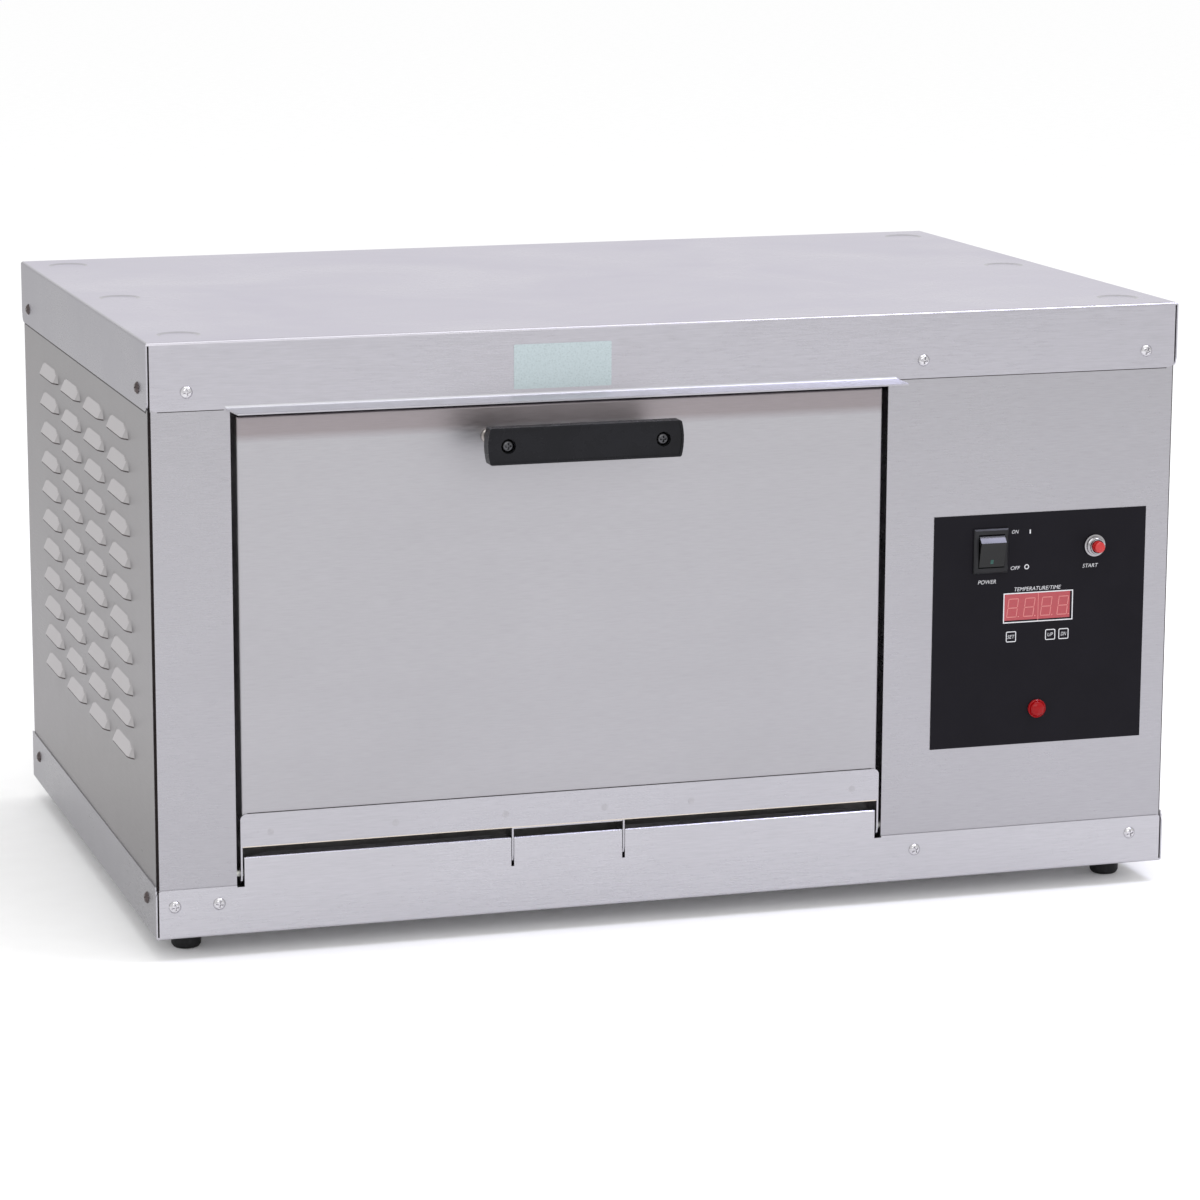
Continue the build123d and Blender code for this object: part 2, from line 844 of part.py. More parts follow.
def handle_bar():
    """The moulded bar: bowed ends, a low rim round its face, two counterbored holes."""
    y1 = door_face_y - handle_post_length - handle_collar_length
    y0 = y1 - handle_thickness
    bar = Pos(0, y1, 0) * extrude(handle_outline(0), amount=handle_thickness)
    bar = fillet(bar.edges().filter_by(Axis.Y), handle_corner_radius)
    face = Pos(0, y0 + handle_rim_height, 0) * extrude(handle_outline(handle_rim), amount=handle_thickness)
    bar -= face
    for x in handle_places():
        start = (x, y0 - 1, handle_z)
        bar -= hole(start, (0, 1, 0), handle_screw_radius + close_fit, handle_thickness + 2, small_flats)
        bar -= hole(start, (0, 1, 0), handle_screw_head_radius + easy_fit, handle_counterbore + 1, plain_flats)
    return bar


def handle_collars():
    group = []
    y0 = door_face_y - handle_post_length - handle_collar_length
    for x in handle_places():
        collar = many_sided((x, y0, handle_z), (0, 1, 0), handle_collar_radius, handle_collar_length,
                            plain_flats)
        collar -= hole((x, y0 - 1, handle_z), (0, 1, 0), handle_screw_radius + close_fit,
                       handle_collar_length + 2, small_flats)
        group.append(collar)
    return Compound(children=group)


def handle_posts():
    """The two bright posts that hold the bar off the hot door."""
    group = []
    y0 = door_face_y - handle_post_length
    for x in handle_places():
        post = many_sided((x, y0, handle_z), (0, 1, 0), handle_post_radius, handle_post_length, plain_flats)
        post -= hole((x, y0 - 1, handle_z), (0, 1, 0), handle_screw_radius + close_fit,
                     handle_post_length + 2, small_flats)
        group.append(post)
    return Compound(children=group)


def handle_screws():
    """Long screws from the bar's counterbores through posts and door skin, nutted inside."""
    group = []
    bar_y = door_face_y - handle_post_length - handle_collar_length - handle_thickness
    head_y = bar_y + handle_counterbore - handle_screw_head
    seat_y = bar_y + handle_counterbore
    nut_y = door_face_y + skin
    for x in handle_places():
        screw = many_sided((x, head_y, handle_z), (0, 1, 0), handle_screw_head_radius, handle_screw_head,
                           plain_flats)
        screw += many_sided((x, seat_y, handle_z), (0, 1, 0), handle_screw_radius, nut_y - seat_y, small_flats)
        screw += many_sided((x, nut_y, handle_z), (0, 1, 0), handle_screw_head_radius, handle_bolt_head, 6)
        group.append(screw)
    return Compound(children=group)


def door_edge_screws():
    """The screw half way up each edge of the door that joins its two trays."""
    group = []
    z = (door_bottom_z + door_top_z) / 2
    y = door_back_y - door_pan_flange / 2
    for x, toward in ((door_left, -1), (door_right, 1)):
        group.append(cup((x, y, z), (toward, 0, 0), door_screw_radius, door_screw_crown, door_screw_head,
                         small_flats))
    return Compound(children=group)


def oven_liner():
    """The cavity's five walls in one welded box, with the wide frame round its mouth."""
    s = liner_sheet
    box = block(cavity_left - s, cavity_right + s, frame_y, cavity_back + s, cavity_bottom - s, cavity_top + s)
    frame = block(stile_right - frame_overlap, control_left + frame_overlap, frame_y, frame_y + s, floor_z,
                  panel_high_z)
    liner = box + frame
    liner -= block(cavity_left, cavity_right, frame_y - 1, cavity_back, cavity_bottom, cavity_top)
    for y, z in element_leg_places():
        liner -= hole((cavity_right - 1, y, z), (1, 0, 0), element_radius + easy_fit, s + 2, tube_flats)
    liner -= hole((cavity_right - 1, probe_y, probe_z), (1, 0, 0), probe_radius + easy_fit, s + 2, tube_flats)
    return liner


def element_leg_places():
    """Where the elements' cold ends pass through the side wall."""
    for z in (lower_element_z, upper_element_z):
        for y in element_leg_ys:
            yield y, z


def cavity_blanket():
    """The insulation wrapped round the liner behind its frame."""
    s = liner_sheet
    x0 = cavity_left - s
    x1 = cavity_right + s
    z0 = cavity_bottom - s
    z1 = cavity_top + s
    y0 = frame_y + s
    y1 = cavity_back + s
    wrap = block(x0 - blanket, x1 + blanket, y0, y1 + blanket, z0 - blanket, z1 + blanket)
    wrap -= block(x0, x1, y0 - 1, y1, z0, z1)
    for y, z in element_leg_places():
        wrap -= hole((x1 - 1, y, z), (1, 0, 0), bushing_radius + easy_fit, blanket + 2, 4)
    wrap -= hole((x1 - 1, probe_y, probe_z), (1, 0, 0), probe_head_radius + easy_fit, blanket + 2, 4)
    for x, y in stand_places():
        room = stand_flange + wide_fit
        wrap -= block(x - room, x + room, y - room, y + room, z0 - blanket - 1, z0)
    return wrap


def stand_places():
    for x in (cavity_left + stand_inset_x, cavity_right - stand_inset_x):
        yield x, cavity_back - stand_inset_y


def cavity_stands():
    """Folded stands on the base that carry the back of the liner."""
    group = []
    top = cavity_bottom - liner_sheet
    for x, y in stand_places():
        stand = block(x - stand_sheet, x, y - stand_flange, y + stand_flange, floor_z, top)
        stand += block(x - stand_sheet, x + stand_flange, y - stand_flange, y + stand_flange, floor_z,
                       floor_z + stand_sheet)
        stand += block(x - stand_sheet, x + stand_flange, y - stand_flange, y + stand_flange, top - stand_sheet,
                       top)
        group.append(stand)
    return Compound(children=group)


def rack_rails():
    """Four angles on the cavity's side walls that the racks slide on."""
    group = []
    y0 = frame_y + rack_front_gap
    y1 = cavity_back - rack_back_gap / 2
    for z in (lower_rack_z, upper_rack_z):
        for wall, toward in ((cavity_left, 1), (cavity_right, -1)):
            rail = block(wall, wall + toward * rack_rail_sheet, y0, y1, z - rack_rail_height, z)
            rail += block(wall, wall + toward * rack_rail_width, y0, y1, z - rack_rail_sheet, z)
            group.append(rail)
    return Compound(children=group)


def wire_rack(rail_top):
    """A rack of wires welded into a bent frame, lying on its two rails."""
    r = rack_frame_radius
    z = rail_top + r * math.cos(math.pi / tube_flats)
    x0 = cavity_left + rack_side_gap + r
    x1 = cavity_right - rack_side_gap - r
    y0 = frame_y + rack_front_gap + r
    y1 = cavity_back - rack_back_gap - r
    bend = rack_corner_radius
    middle = (x0 + x1) / 2
    path = Polyline(
        (middle, y0, z), (x1 - bend, y0, z), (x1, y0 + bend, z), (x1, y1 - bend, z), (x1 - bend, y1, z),
        (x0 + bend, y1, z), (x0, y1 - bend, z), (x0, y0 + bend, z), (x0 + bend, y0, z), (middle, y0, z)
    )
    plane = Plane(origin=(middle, y0, z), x_dir=(0, 1, 0), z_dir=(1, 0, 0))
    rack = sweep(plane * RegularPolygon(r, tube_flats), path=path, transition=Transition.RIGHT)
    pitch = (x1 - x0 - 2 * bend) / (rack_wires - 1)
    wires = []
    for number in range(rack_wires):
        x = x0 + bend + number * pitch
        wires.append(many_sided((x, y0, z), (0, 1, 0), rack_wire_radius, y1 - y0, 4))
    return rack + wires


def lower_rack():
    return wire_rack(lower_rack_z)


def upper_rack():
    return wire_rack(upper_rack_z)


def heating_element(z):
    """A tubular element bent to and fro, its cold ends out through the side wall."""
    end_x = cavity_right + element_outside
    turn = element_run_pitch / 2
    near_x = cavity_right - element_from_wall - turn
    far_x = cavity_left + element_from_wall + turn
    points = [(end_x, element_run_ys[0], z)]
    for number, y in enumerate(element_run_ys[:-1]):
        facing = -1 if number % 2 == 0 else 1
        turn_x = far_x if number % 2 == 0 else near_x
        for step in range(element_turn_steps + 1):
            angle = math.pi * step / element_turn_steps
            x = turn_x + facing * turn * math.sin(angle)
            points.append((x, y + turn * (1 - math.cos(angle)), z))
    points.append((end_x, element_run_ys[-1], z))
    plane = Plane(origin=points[0], x_dir=(0, 1, 0), z_dir=(-1, 0, 0))
    section = plane * RegularPolygon(element_radius, tube_flats)
    tube = sweep(section, path=Polyline(*points), transition=Transition.RIGHT)
    for y in element_leg_ys:
        tube += many_sided((end_x, y, z), (1, 0, 0), element_pin_radius, element_pin_length, 4)
    return tube


def lower_element():
    return heating_element(lower_element_z)


def upper_element():
    return heating_element(upper_element_z)


def element_bushings():
    """The ring brazed on each cold end, seated on the liner's outer face."""
    group = []
    x = cavity_right + liner_sheet
    for y, z in element_leg_places():
        ring = many_sided((x, y, z), (1, 0, 0), bushing_radius, bushing_length, 6)
        group.append(ring - hole((x - 1, y, z), (1, 0, 0), element_radius, bushing_length + 2, tube_flats))
    return Compound(children=group)


def element_hangers():
    """A pierced strip for each element, which holds its runs off the cavity's floor or roof."""
    group = []
    x = cavity_left + element_from_wall + element_run_pitch / 2 + hanger_inset
    y0 = element_run_ys[0] - hanger_margin
    y1 = element_run_ys[-1] + hanger_margin
    for z, wall, toward in ((lower_element_z, cavity_bottom, 1), (upper_element_z, cavity_top, -1)):
        tip = z + toward * hanger_margin
        strip = block(x, x + hanger_sheet, y0, y1, wall, tip)
        strip += block(x, x + hanger_foot, y0, y1, wall, wall + toward * hanger_sheet)
        for y in element_run_ys:
            strip -= hole((x - 1, y, z), (1, 0, 0), element_radius, hanger_sheet + 2, 4)
        group.append(strip)
    return Compound(children=group)


def temperature_probe():
    """The sensor that reaches into the cavity, with its head in the control side."""
    x = cavity_right + liner_sheet
    length = probe_reach + liner_sheet
    probe = many_sided((x - length, probe_y, probe_z), (1, 0, 0), probe_radius, length, tube_flats)
    probe += many_sided((x, probe_y, probe_z), (1, 0, 0), probe_head_radius, probe_head_length, 6)
    return probe


def control_partition():
    """The wall between the hot side and the controls, footed on the base."""
    y0 = frame_y + liner_sheet
    y1 = rear_panel_y
    wall = block(partition_x, partition_x + skin, y0, y1, floor_z, panel_high_z)
    wall += block(partition_x, partition_x + return_flange, y0, y1, floor_z, floor_z + skin)
    wall += block(partition_x - return_flange, partition_x, y0, y0 + skin, floor_z, panel_high_z)
    for y, z in element_leg_places():
        wall -= hole((partition_x - 1, y, z), (1, 0, 0), bushing_radius, skin + 2, small_flats)
    probe = (partition_x - 1, probe_y, probe_z)
    wall -= hole(probe, (1, 0, 0), probe_head_radius + wide_fit, skin + 2, small_flats)
    return wall


def bezel_opening(y0, y1):
    """The switch body's cut-out in the panel and the overlay."""
    half_x = bezel_width / 2 - bezel_body_wall
    half_z = bezel_height / 2 - bezel_body_wall
    return block(rocker_x - half_x, rocker_x + half_x, y0, y1, rocker_z - half_z, rocker_z + half_z)


def button_opening(y, depth):
    return hole((button_x, y, button_z), (0, 1, 0), button_body_radius + easy_fit, depth, plain_flats)


def lamp_opening(y, depth):
    return hole((lamp_x, y, lamp_z), (0, 1, 0), lamp_body_radius + easy_fit, depth, plain_flats)


def display_opening(y0, y1):
    half_x = display_width / 2
    half_z = display_height / 2
    return block(display_x - half_x, display_x + half_x, y0, y1, display_z - half_z, display_z + half_z)


def key_block(x, y0, y1, growth):
    """The square of one key, larger by growth on every side."""
    half = key_size / 2 + growth
    return block(x - half, x + half, y0, y1, key_z - half, key_z + half)


def control_overlay():
    """The printed panel stuck on the front sheet, cut out for each control."""
    sheet = block(overlay_left, overlay_right, overlay_y, panel_y, overlay_low_z, overlay_high_z)
    sheet -= bezel_opening(overlay_y - 1, panel_y + 1)
    sheet -= display_opening(overlay_y - 1, panel_y + 1)
    sheet -= button_opening(overlay_y - 1, overlay_sheet + 2)
    sheet -= lamp_opening(overlay_y - 1, overlay_sheet + 2)
    for x in key_places.values():
        sheet -= key_block(x, overlay_y - 1, panel_y + 1, key_gap)
    return sheet


def rocker_bezel():
    """The switch's housing: a raised rim outside and a box behind the panel."""
    face_y = overlay_y - bezel_proud
    rim = block(rocker_x - bezel_width / 2, rocker_x + bezel_width / 2, face_y, overlay_y,
                rocker_z - bezel_height / 2, rocker_z + bezel_height / 2)
    rim = chamfer(rim.edges().group_by(Axis.Y)[0], bezel_bevel)
    half_x = bezel_width / 2 - bezel_body_wall - easy_fit
    half_z = bezel_height / 2 - bezel_body_wall - easy_fit
    housing = rim + block(rocker_x - half_x, rocker_x + half_x, overlay_y, overlay_y + bezel_body_depth,
                          rocker_z - half_z, rocker_z + half_z)
    pin_y = overlay_y + rocker_pivot_depth
    half_well = rocker_width / 2 + rocker_gap
    well = (rocker_x - half_well, pin_y, rocker_z)
    housing -= hole(well, (1, 0, 0), rocker_radius + rocker_gap, 2 * half_well, 2 * fine_flats)
    half_pins = half_well + rocker_pin_length + easy_fit
    pins = (rocker_x - half_pins, pin_y, rocker_z)
    housing -= hole(pins, (1, 0, 0), rocker_pin_radius + close_fit, 2 * half_pins, plain_flats)
    return housing


def power_rocker():
    """The paddle: a round block with a flat face, its top standing out when it is off."""
    pin_y = overlay_y + rocker_pivot_depth
    half = rocker_width / 2
    paddle = drum((rocker_x - half, pin_y, rocker_z), (1, 0, 0), rocker_radius, rocker_width)
    paddle &= block(rocker_x - half, rocker_x + half, pin_y - rocker_face, pin_y + rocker_back,
                    rocker_z - rocker_radius, rocker_z + rocker_radius)
    half_pins = half + rocker_gap + rocker_pin_length
    pins = (rocker_x - half_pins, pin_y, rocker_z)
    paddle += many_sided(pins, (1, 0, 0), rocker_pin_radius, 2 * half_pins, plain_flats)
    return paddle.rotate(Axis((rocker_x, pin_y, rocker_z), (1, 0, 0)), rocker_slope)


def button_collar():
    """The start button's bright stepped collar, with its barrel behind the panel."""
    y = overlay_y
    tip_y = y - collar_length
    collar = many_sided((button_x, y - collar_base, button_z), (0, 1, 0), collar_radius, collar_base,
                        fine_flats)
    collar += cup((button_x, tip_y, button_z), (0, 1, 0), collar_tip_radius, collar_neck_radius,
                  collar_length - collar_base, fine_flats)
    collar += many_sided((button_x, y, button_z), (0, 1, 0), button_body_radius, button_body_depth, plain_flats)
    depth = collar_length + button_travel + button_floor
    collar -= hole((button_x, tip_y - 1, button_z), (0, 1, 0), button_cap_radius + easy_fit, depth + 1,
                   fine_flats)
    collar -= hole((button_x, tip_y + depth - 1, button_z), (0, 1, 0), button_stem_radius + close_fit,
                   button_body_depth, plain_flats)
    return collar


def start_button():
    """The red cap, bevelled at its edge, on the stem that works the contact."""
    tip_y = overlay_y - button_proud
    cap = many_sided((button_x, tip_y, button_z), (0, 1, 0), button_cap_radius, button_proud, fine_flats)
    cap = chamfer(cap.edges().group_by(Axis.Y)[0], button_bevel)
    stem = (button_x, overlay_y - 1, button_z)
    return cap + many_sided(stem, (0, 1, 0), button_stem_radius, 1 + button_body_depth / 2, plain_flats)


def button_nut_ring():
    nut = many_sided((button_x, panel_back_y, button_z), (0, 1, 0), button_nut_radius, button_nut, 6)
    bore = button_body_radius + close_fit
    return nut - hole((button_x, panel_back_y - 1, button_z), (0, 1, 0), bore, button_nut + 2, plain_flats)


def display_window():
    """The red filter in the overlay's window, in front of the digits."""
    half_x = display_width / 2 - key_gap
    half_z = display_height / 2 - key_gap
    return block(display_x - half_x, display_x + half_x, overlay_y, panel_back_y, display_z - half_z,
                 display_z + half_z)


def display_module():
    """The four-digit module on the board, close behind its window."""
    half_x = display_width / 2 - wide_fit
    half_z = display_height / 2 - wide_fit
    return block(display_x - half_x, display_x + half_x, panel_back_y, board_y, display_z - half_z,
                 display_z + half_z)


def key(x):
    """One key of the overlay with the pip behind it that works its switch."""
    pad = key_block(x, overlay_y, panel_back_y, 0)
    tip_y = board_y - tact_height - key_travel - easy_fit
    pad += block(x - key_stem_radius, x + key_stem_radius, panel_back_y, tip_y, key_z - key_stem_radius,
                 key_z + key_stem_radius)
    return pad


def key_switches():
    group = []
    half = tact_size / 2
    for x in key_places.values():
        group.append(block(x - half, x + half, board_y - tact_height, board_y, key_z - half, key_z + half))
    return Compound(children=group)


def pilot_lamp():
    """The red lamp: a bevelled lens on a barrel through the panel."""
    y = overlay_y
    tip_y = y - lamp_lens_height
    lens = cup((lamp_x, tip_y, lamp_z), (0, 1, 0), lamp_tip_radius, lamp_lens_radius,
               lamp_lens_height - lamp_rim, fine_flats)
    lens += many_sided((lamp_x, y - lamp_rim, lamp_z), (0, 1, 0), lamp_lens_radius, lamp_rim, fine_flats)
    lens += many_sided((lamp_x, y, lamp_z), (0, 1, 0), lamp_body_radius, lamp_body_depth, plain_flats)
    return lens


def lamp_nut_ring():
    nut = many_sided((lamp_x, panel_back_y, lamp_z), (0, 1, 0), lamp_nut_radius, lamp_nut, 6)
    bore = lamp_body_radius + close_fit
    return nut - hole((lamp_x, panel_back_y - 1, lamp_z), (0, 1, 0), bore, lamp_nut + 2, plain_flats)


def control_board():
    return block(board_x - board_width / 2, board_x + board_width / 2, board_y, board_y + board_sheet,
                 board_z - board_height / 2, board_z + board_height / 2)


def board_standoffs():
    """Pillars from the front sheet that carry the board's corners."""
    group = []
    for x_side in (-1, 1):
        for z_side in (-1, 1):
            x = board_x + x_side * (board_width / 2 - standoff_inset)
            z = board_z + z_side * (board_height / 2 - standoff_inset)
            start = (x, panel_back_y, z)
            group.append(many_sided(start, (0, 1, 0), standoff_radius, board_y - panel_back_y, tube_flats))
    return Compound(children=group)


def contactor():
    """The relay that switches the elements, on its rail on the base."""
    x = (partition_x + right) / 2
    half = contactor_width / 2
    y1 = back - contactor_from_back
    y0 = y1 - contactor_depth
    z0 = floor_z + contactor_rail_height
    z1 = z0 + contactor_body_height
    body = block(x - half, x + half, y0, y1, z0, z1)
    half -= contactor_head_inset
    body += block(x - half, x + half, y0 + contactor_head_margin, y1 - contactor_head_margin, z1,
                  z1 + contactor_head_height)
    return body


def contactor_rail():
    """The top-hat rail that the contactor clips to."""
    x = (partition_x + right) / 2
    y = back - contactor_from_back - contactor_depth / 2
    half = contactor_rail_length / 2
    neck = contactor_rail_neck / 2
    brim = contactor_rail_width / 2
    z1 = floor_z + contactor_rail_height
    rail = block(x - half, x + half, y - neck, y + neck, floor_z, floor_z + skin)
    for side in (-1, 1):
        rail += block(x - half, x + half, y + side * neck, y + side * (neck - skin), floor_z, z1)
        rail += block(x - half, x + half, y + side * (neck - skin), y + side * brim, z1 - skin, z1)
    return rail


def terminal_block():
    """The row of terminals where the supply comes in, with walls between its ways."""
    x = (partition_x + right) / 2
    half = terminal_width / 2
    y1 = back - terminal_from_back
    y0 = y1 - terminal_depth
    z1 = floor_z + terminal_height
    step_z = z1 - terminal_step_depth
    body = block(x - half, x + half, y0, y1, floor_z, z1)
    way = (terminal_width - terminal_wall) / terminal_ways
    for number in range(terminal_ways):
        x0 = x - half + terminal_wall + number * way
        x1 = x0 + way - terminal_wall
        body -= block(x0, x1, y0 - 1, y0 + terminal_step_width, step_z, z1 + 1)
        body -= block(x0, x1, y1 - terminal_step_width, y1 + 1, step_z, z1 + 1)
    return body


def high_limit_switch():
    """The over-temperature cut-out, clamped on the partition."""
    y = front + limit_switch_from_front
    z = (cavity_bottom + cavity_top) / 2
    x = partition_x + skin
    half_plate = limit_plate_width / 2
    half_strip = limit_plate_height / 2
    body = many_sided((x, y, z), (1, 0, 0), limit_switch_radius, limit_switch_height, plain_flats)
    body += block(x, x + limit_plate_sheet, y - half_plate, y + half_plate, z - half_strip, z + half_strip)
    for side in (-1, 1):
        blade_y = y + side * limit_blade_offset
        tip_x = x + limit_switch_height + limit_blade_length
        half_blade = limit_blade_width / 2
        body += block(x + limit_switch_height, tip_x, blade_y, blade_y + limit_blade_sheet, z - half_blade,
                      z + half_blade)
    return body


def screw_head(place, direction):
    """The pan head of one sheet screw, seated on the sheet."""
    return cup(place, direction, screw_head_radius, screw_crown_radius, screw_head_height, small_flats)


def lid_screws():
    z = top_z - lid_screw_drop
    group = []
    for x in (left + screw_inset, control_left + control_screw_offset, right - lid_right_screw):
        group.append(screw_head((x, front, z), (0, -1, 0)))
    for x in (left + screw_inset, right - screw_inset):
        group.append(screw_head((x, back, z), (0, 1, 0)))
    for y in (front + side_screw_inset, back - side_screw_inset):
        group.append(screw_head((left, y, z), (-1, 0, 0)))
        group.append(screw_head((right, y, z), (1, 0, 0)))
    return Compound(children=group)


def base_screws():
    z = base_z + base_screw_rise
    group = []
    for x in (left + base_corner_screw, left + base_stile_screw, control_left + control_screw_offset,
              right - base_right_screw):
        group.append(screw_head((x, front, z), (0, -1, 0)))
    for x in (left + screw_inset, right - screw_inset):
        group.append(screw_head((x, back, z), (0, 1, 0)))
    for y in (front + side_screw_inset, back - side_screw_inset):
        group.append(screw_head((left, y, z), (-1, 0, 0)))
        group.append(screw_head((right, y, z), (1, 0, 0)))
    return Compound(children=group)


parts = {
    "top_cover": top_cover,
    "base_pan": base_pan,
    "left_side_panel": left_side_panel,
    "right_side_panel": right_side_panel,
    "front_panel": front_panel,
    "back_panel": back_panel,
    "feet": feet,
    "foot_screws": foot_screws,
    "lid_screws": lid_screws,
    "base_screws": base_screws,
    "cord_gland": cord_gland,
    "gland_lock_nut": gland_lock_nut,
    "oven_liner": oven_liner,
    "cavity_blanket": cavity_blanket,
    "cavity_stands": cavity_stands,
    "rack_rails": rack_rails,
    "lower_rack": lower_rack,
    "upper_rack": upper_rack,
    "lower_element": lower_element,
    "upper_element": upper_element,
    "element_bushings": element_bushings,
    "element_hangers": element_hangers,
    "temperature_probe": temperature_probe,
    "control_partition": control_partition,
    "control_overlay": control_overlay,
    "rocker_bezel": rocker_bezel,
    "power_rocker": power_rocker,
    "button_collar": button_collar,
    "button_nut": button_nut_ring,
    "start_button": start_button,
    "display_window": display_window,
    "display_module": display_module,
    "key_switches": key_switches,
    "pilot_lamp": pilot_lamp,
    "lamp_nut": lamp_nut_ring,
    "control_board": control_board,
    "board_standoffs": board_standoffs,
    "contactor": contactor,
    "contactor_rail": contactor_rail,
    "terminal_block": terminal_block,
    "high_limit_switch": high_limit_switch,
    "hinge_rod": hinge_rod,
    "rod_end_caps": rod_end_caps,
    "rod_stands": rod_stands,
    "door_skin": door_skin,
    "door_inner_pan": door_inner_pan,
    "door_insulation": door_insulation,
    "hinge_strip": hinge_strip,
    "centre_hinge_bracket": centre_hinge_bracket,
    "handle_bar": handle_bar,
    "handle_posts": handle_posts,
    "handle_collars": handle_collars,
    "handle_screws": handle_screws,
    "door_edge_screws": door_edge_screws,
}

os.makedirs("parts", exist_ok=True)
for name, make in parts.items():
    export_step(make(), f"parts/{name}.step")
for name, x in key_places.items():
    export_step(key(x), f"parts/{name}.step")
print("door pivot", round(pivot_y, 3), round(pivot_z, 3))
print("rocker pivot", round(rocker_x, 3), round(overlay_y + rocker_pivot_depth, 3), round(rocker_z, 3))
print("body front", round(front, 3), "left", round(left, 3))
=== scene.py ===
import json
import math

import bmesh
import bpy
from mathutils import Matrix, Vector


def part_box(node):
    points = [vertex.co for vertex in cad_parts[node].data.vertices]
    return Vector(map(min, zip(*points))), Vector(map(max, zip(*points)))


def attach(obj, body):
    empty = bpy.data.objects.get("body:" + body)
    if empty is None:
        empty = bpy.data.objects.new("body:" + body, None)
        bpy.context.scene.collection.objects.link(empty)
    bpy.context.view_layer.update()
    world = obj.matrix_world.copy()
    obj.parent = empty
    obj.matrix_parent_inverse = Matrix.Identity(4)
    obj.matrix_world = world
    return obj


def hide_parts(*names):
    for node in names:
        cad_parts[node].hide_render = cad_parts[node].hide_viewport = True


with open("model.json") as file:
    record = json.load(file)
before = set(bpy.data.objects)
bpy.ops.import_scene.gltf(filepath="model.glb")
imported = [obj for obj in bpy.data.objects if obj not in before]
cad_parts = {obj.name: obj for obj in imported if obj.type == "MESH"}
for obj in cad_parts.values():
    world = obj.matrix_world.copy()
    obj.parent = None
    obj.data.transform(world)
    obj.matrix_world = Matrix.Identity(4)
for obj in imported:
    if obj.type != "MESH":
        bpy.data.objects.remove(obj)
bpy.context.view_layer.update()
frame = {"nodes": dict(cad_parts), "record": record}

nodes = frame["nodes"]
slot_of = {part["node"]: part["material_slot"] for part in frame["record"]["subparts"]}


def mm(*values):
    """Millimetres turned into metres."""
    return tuple(value / 1000 for value in values)


def box_mm(name):
    """The low and high corners of a CAD node, in millimetres."""
    return [[value * 1000 for value in corner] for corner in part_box(name)]


# Places on the oven, in millimetres
(body_left, body_front, base_z), (body_right, body_back, base_top_z) = box_mm("base_pan")
top_z = box_mm("top_cover")[1][2]
door_low, door_high = box_mm("door_skin")
strip_low, strip_high = box_mm("hinge_strip")
bracket_low, bracket_high = box_mm("centre_hinge_bracket")
overlay_y = box_mm("control_overlay")[0][1]
lid_flange, base_flange, sheet, door_gap = 44.6, 33.3, 1.0, 3.8
lid_low_z = top_z - lid_flange
stile_right, control_left = door_low[0] - door_gap, door_high[0] + door_gap


# Camera, fitted to the corners of the body
azimuth, elevation, roll = math.radians(16.132), math.radians(11.598), math.radians(0.095)
camera_place = mm(-860.0, -2762.9, 762.3)
forward = Vector((math.sin(azimuth) * math.cos(elevation), math.cos(azimuth) * math.cos(elevation),
                  -math.sin(elevation)))
right = Vector((math.cos(azimuth), -math.sin(azimuth), 0))
up = right.cross(forward)
turn = Matrix.Rotation(roll, 3, forward)
right, up = turn @ right, turn @ up
camera_data = bpy.data.cameras.new("camera")
camera_data.sensor_width = 36
camera_data.lens = 122.85
camera_data.shift_x = 0.0835
camera_data.shift_y = 0.0131
camera_data.clip_end = 50
camera = bpy.data.objects.new("camera", camera_data)
bpy.context.collection.objects.link(camera)
camera.matrix_world = Matrix.Translation(camera_place) @ Matrix((right, up, -forward)).transposed().to_4x4()
bpy.context.scene.camera = camera


# Materials
class Nodes:
    """A small helper that adds nodes to one material and links them."""

    def __init__(self, name):
        self.material = bpy.data.materials.new(name)
        self.material.use_nodes = True
        self.tree = self.material.node_tree
        self.tree.nodes.clear()
        self.output = self.add("OutputMaterial")
        self.coordinates = self.add("TexCoord")

    def add(self, kind, inputs=None, **settings):
        node = self.tree.nodes.new("ShaderNode" + kind)
        for key, value in settings.items():
            setattr(node, key, value)
        for key, value in (inputs or {}).items():
            if isinstance(value, bpy.types.NodeSocket):
                self.tree.links.new(value, node.inputs[key])
            else:
                node.inputs[key].default_value = value
        return node

    def place(self, scale=(1, 1, 1)):
        """Object coordinates stretched by a scale per metre."""
        return self.add("Mapping", {"Vector": self.coordinates.outputs["Object"], "Scale": scale}).outputs[0]

    def parts(self, vector):
        return self.add("SeparateXYZ", {"Vector": vector}).outputs

    def math(self, operation, first, second=0.0):
        return self.add("Math", {0: first, 1: second}, operation=operation).outputs[0]

    def noise(self, vector, scale=1.0, detail=2.0, rough=0.5, distortion=0.0):
        node = self.add("TexNoise", {"Vector": vector, "Scale": scale, "Detail": detail, "Roughness": rough,
                                     "Distortion": distortion})
        return node.outputs["Fac"]

    def spread(self, value, low, high, in_low=0.3, in_high=0.7):
        node = self.add("MapRange", {"Value": value, "From Min": in_low, "From Max": in_high, "To Min": low,
                                     "To Max": high})
        return node.outputs[0]

    def blend(self, factor, first, second, kind="MIX"):
        node = self.add("Mix", {0: factor, 6: first, 7: second}, data_type="RGBA", blend_type=kind)
        return node.outputs[2]

    def finish(self, colour, roughness, bump, height, **constants):
        """One surface with a bump, whose height is in metres. Constants name the shader's own sockets."""
        inputs = {"Base Color": colour, "Roughness": roughness}
        inputs.update({key.replace("_", " "): value for key, value in constants.items()})
        inputs["Normal"] = self.add("Bump", {"Strength": 1.0, "Distance": height, "Height": bump}).outputs[0]
        self.show(self.add("BsdfPrincipled", inputs))
        return self.material

    def show(self, shader):
        self.tree.links.new(shader.outputs[0], self.output.inputs[0])


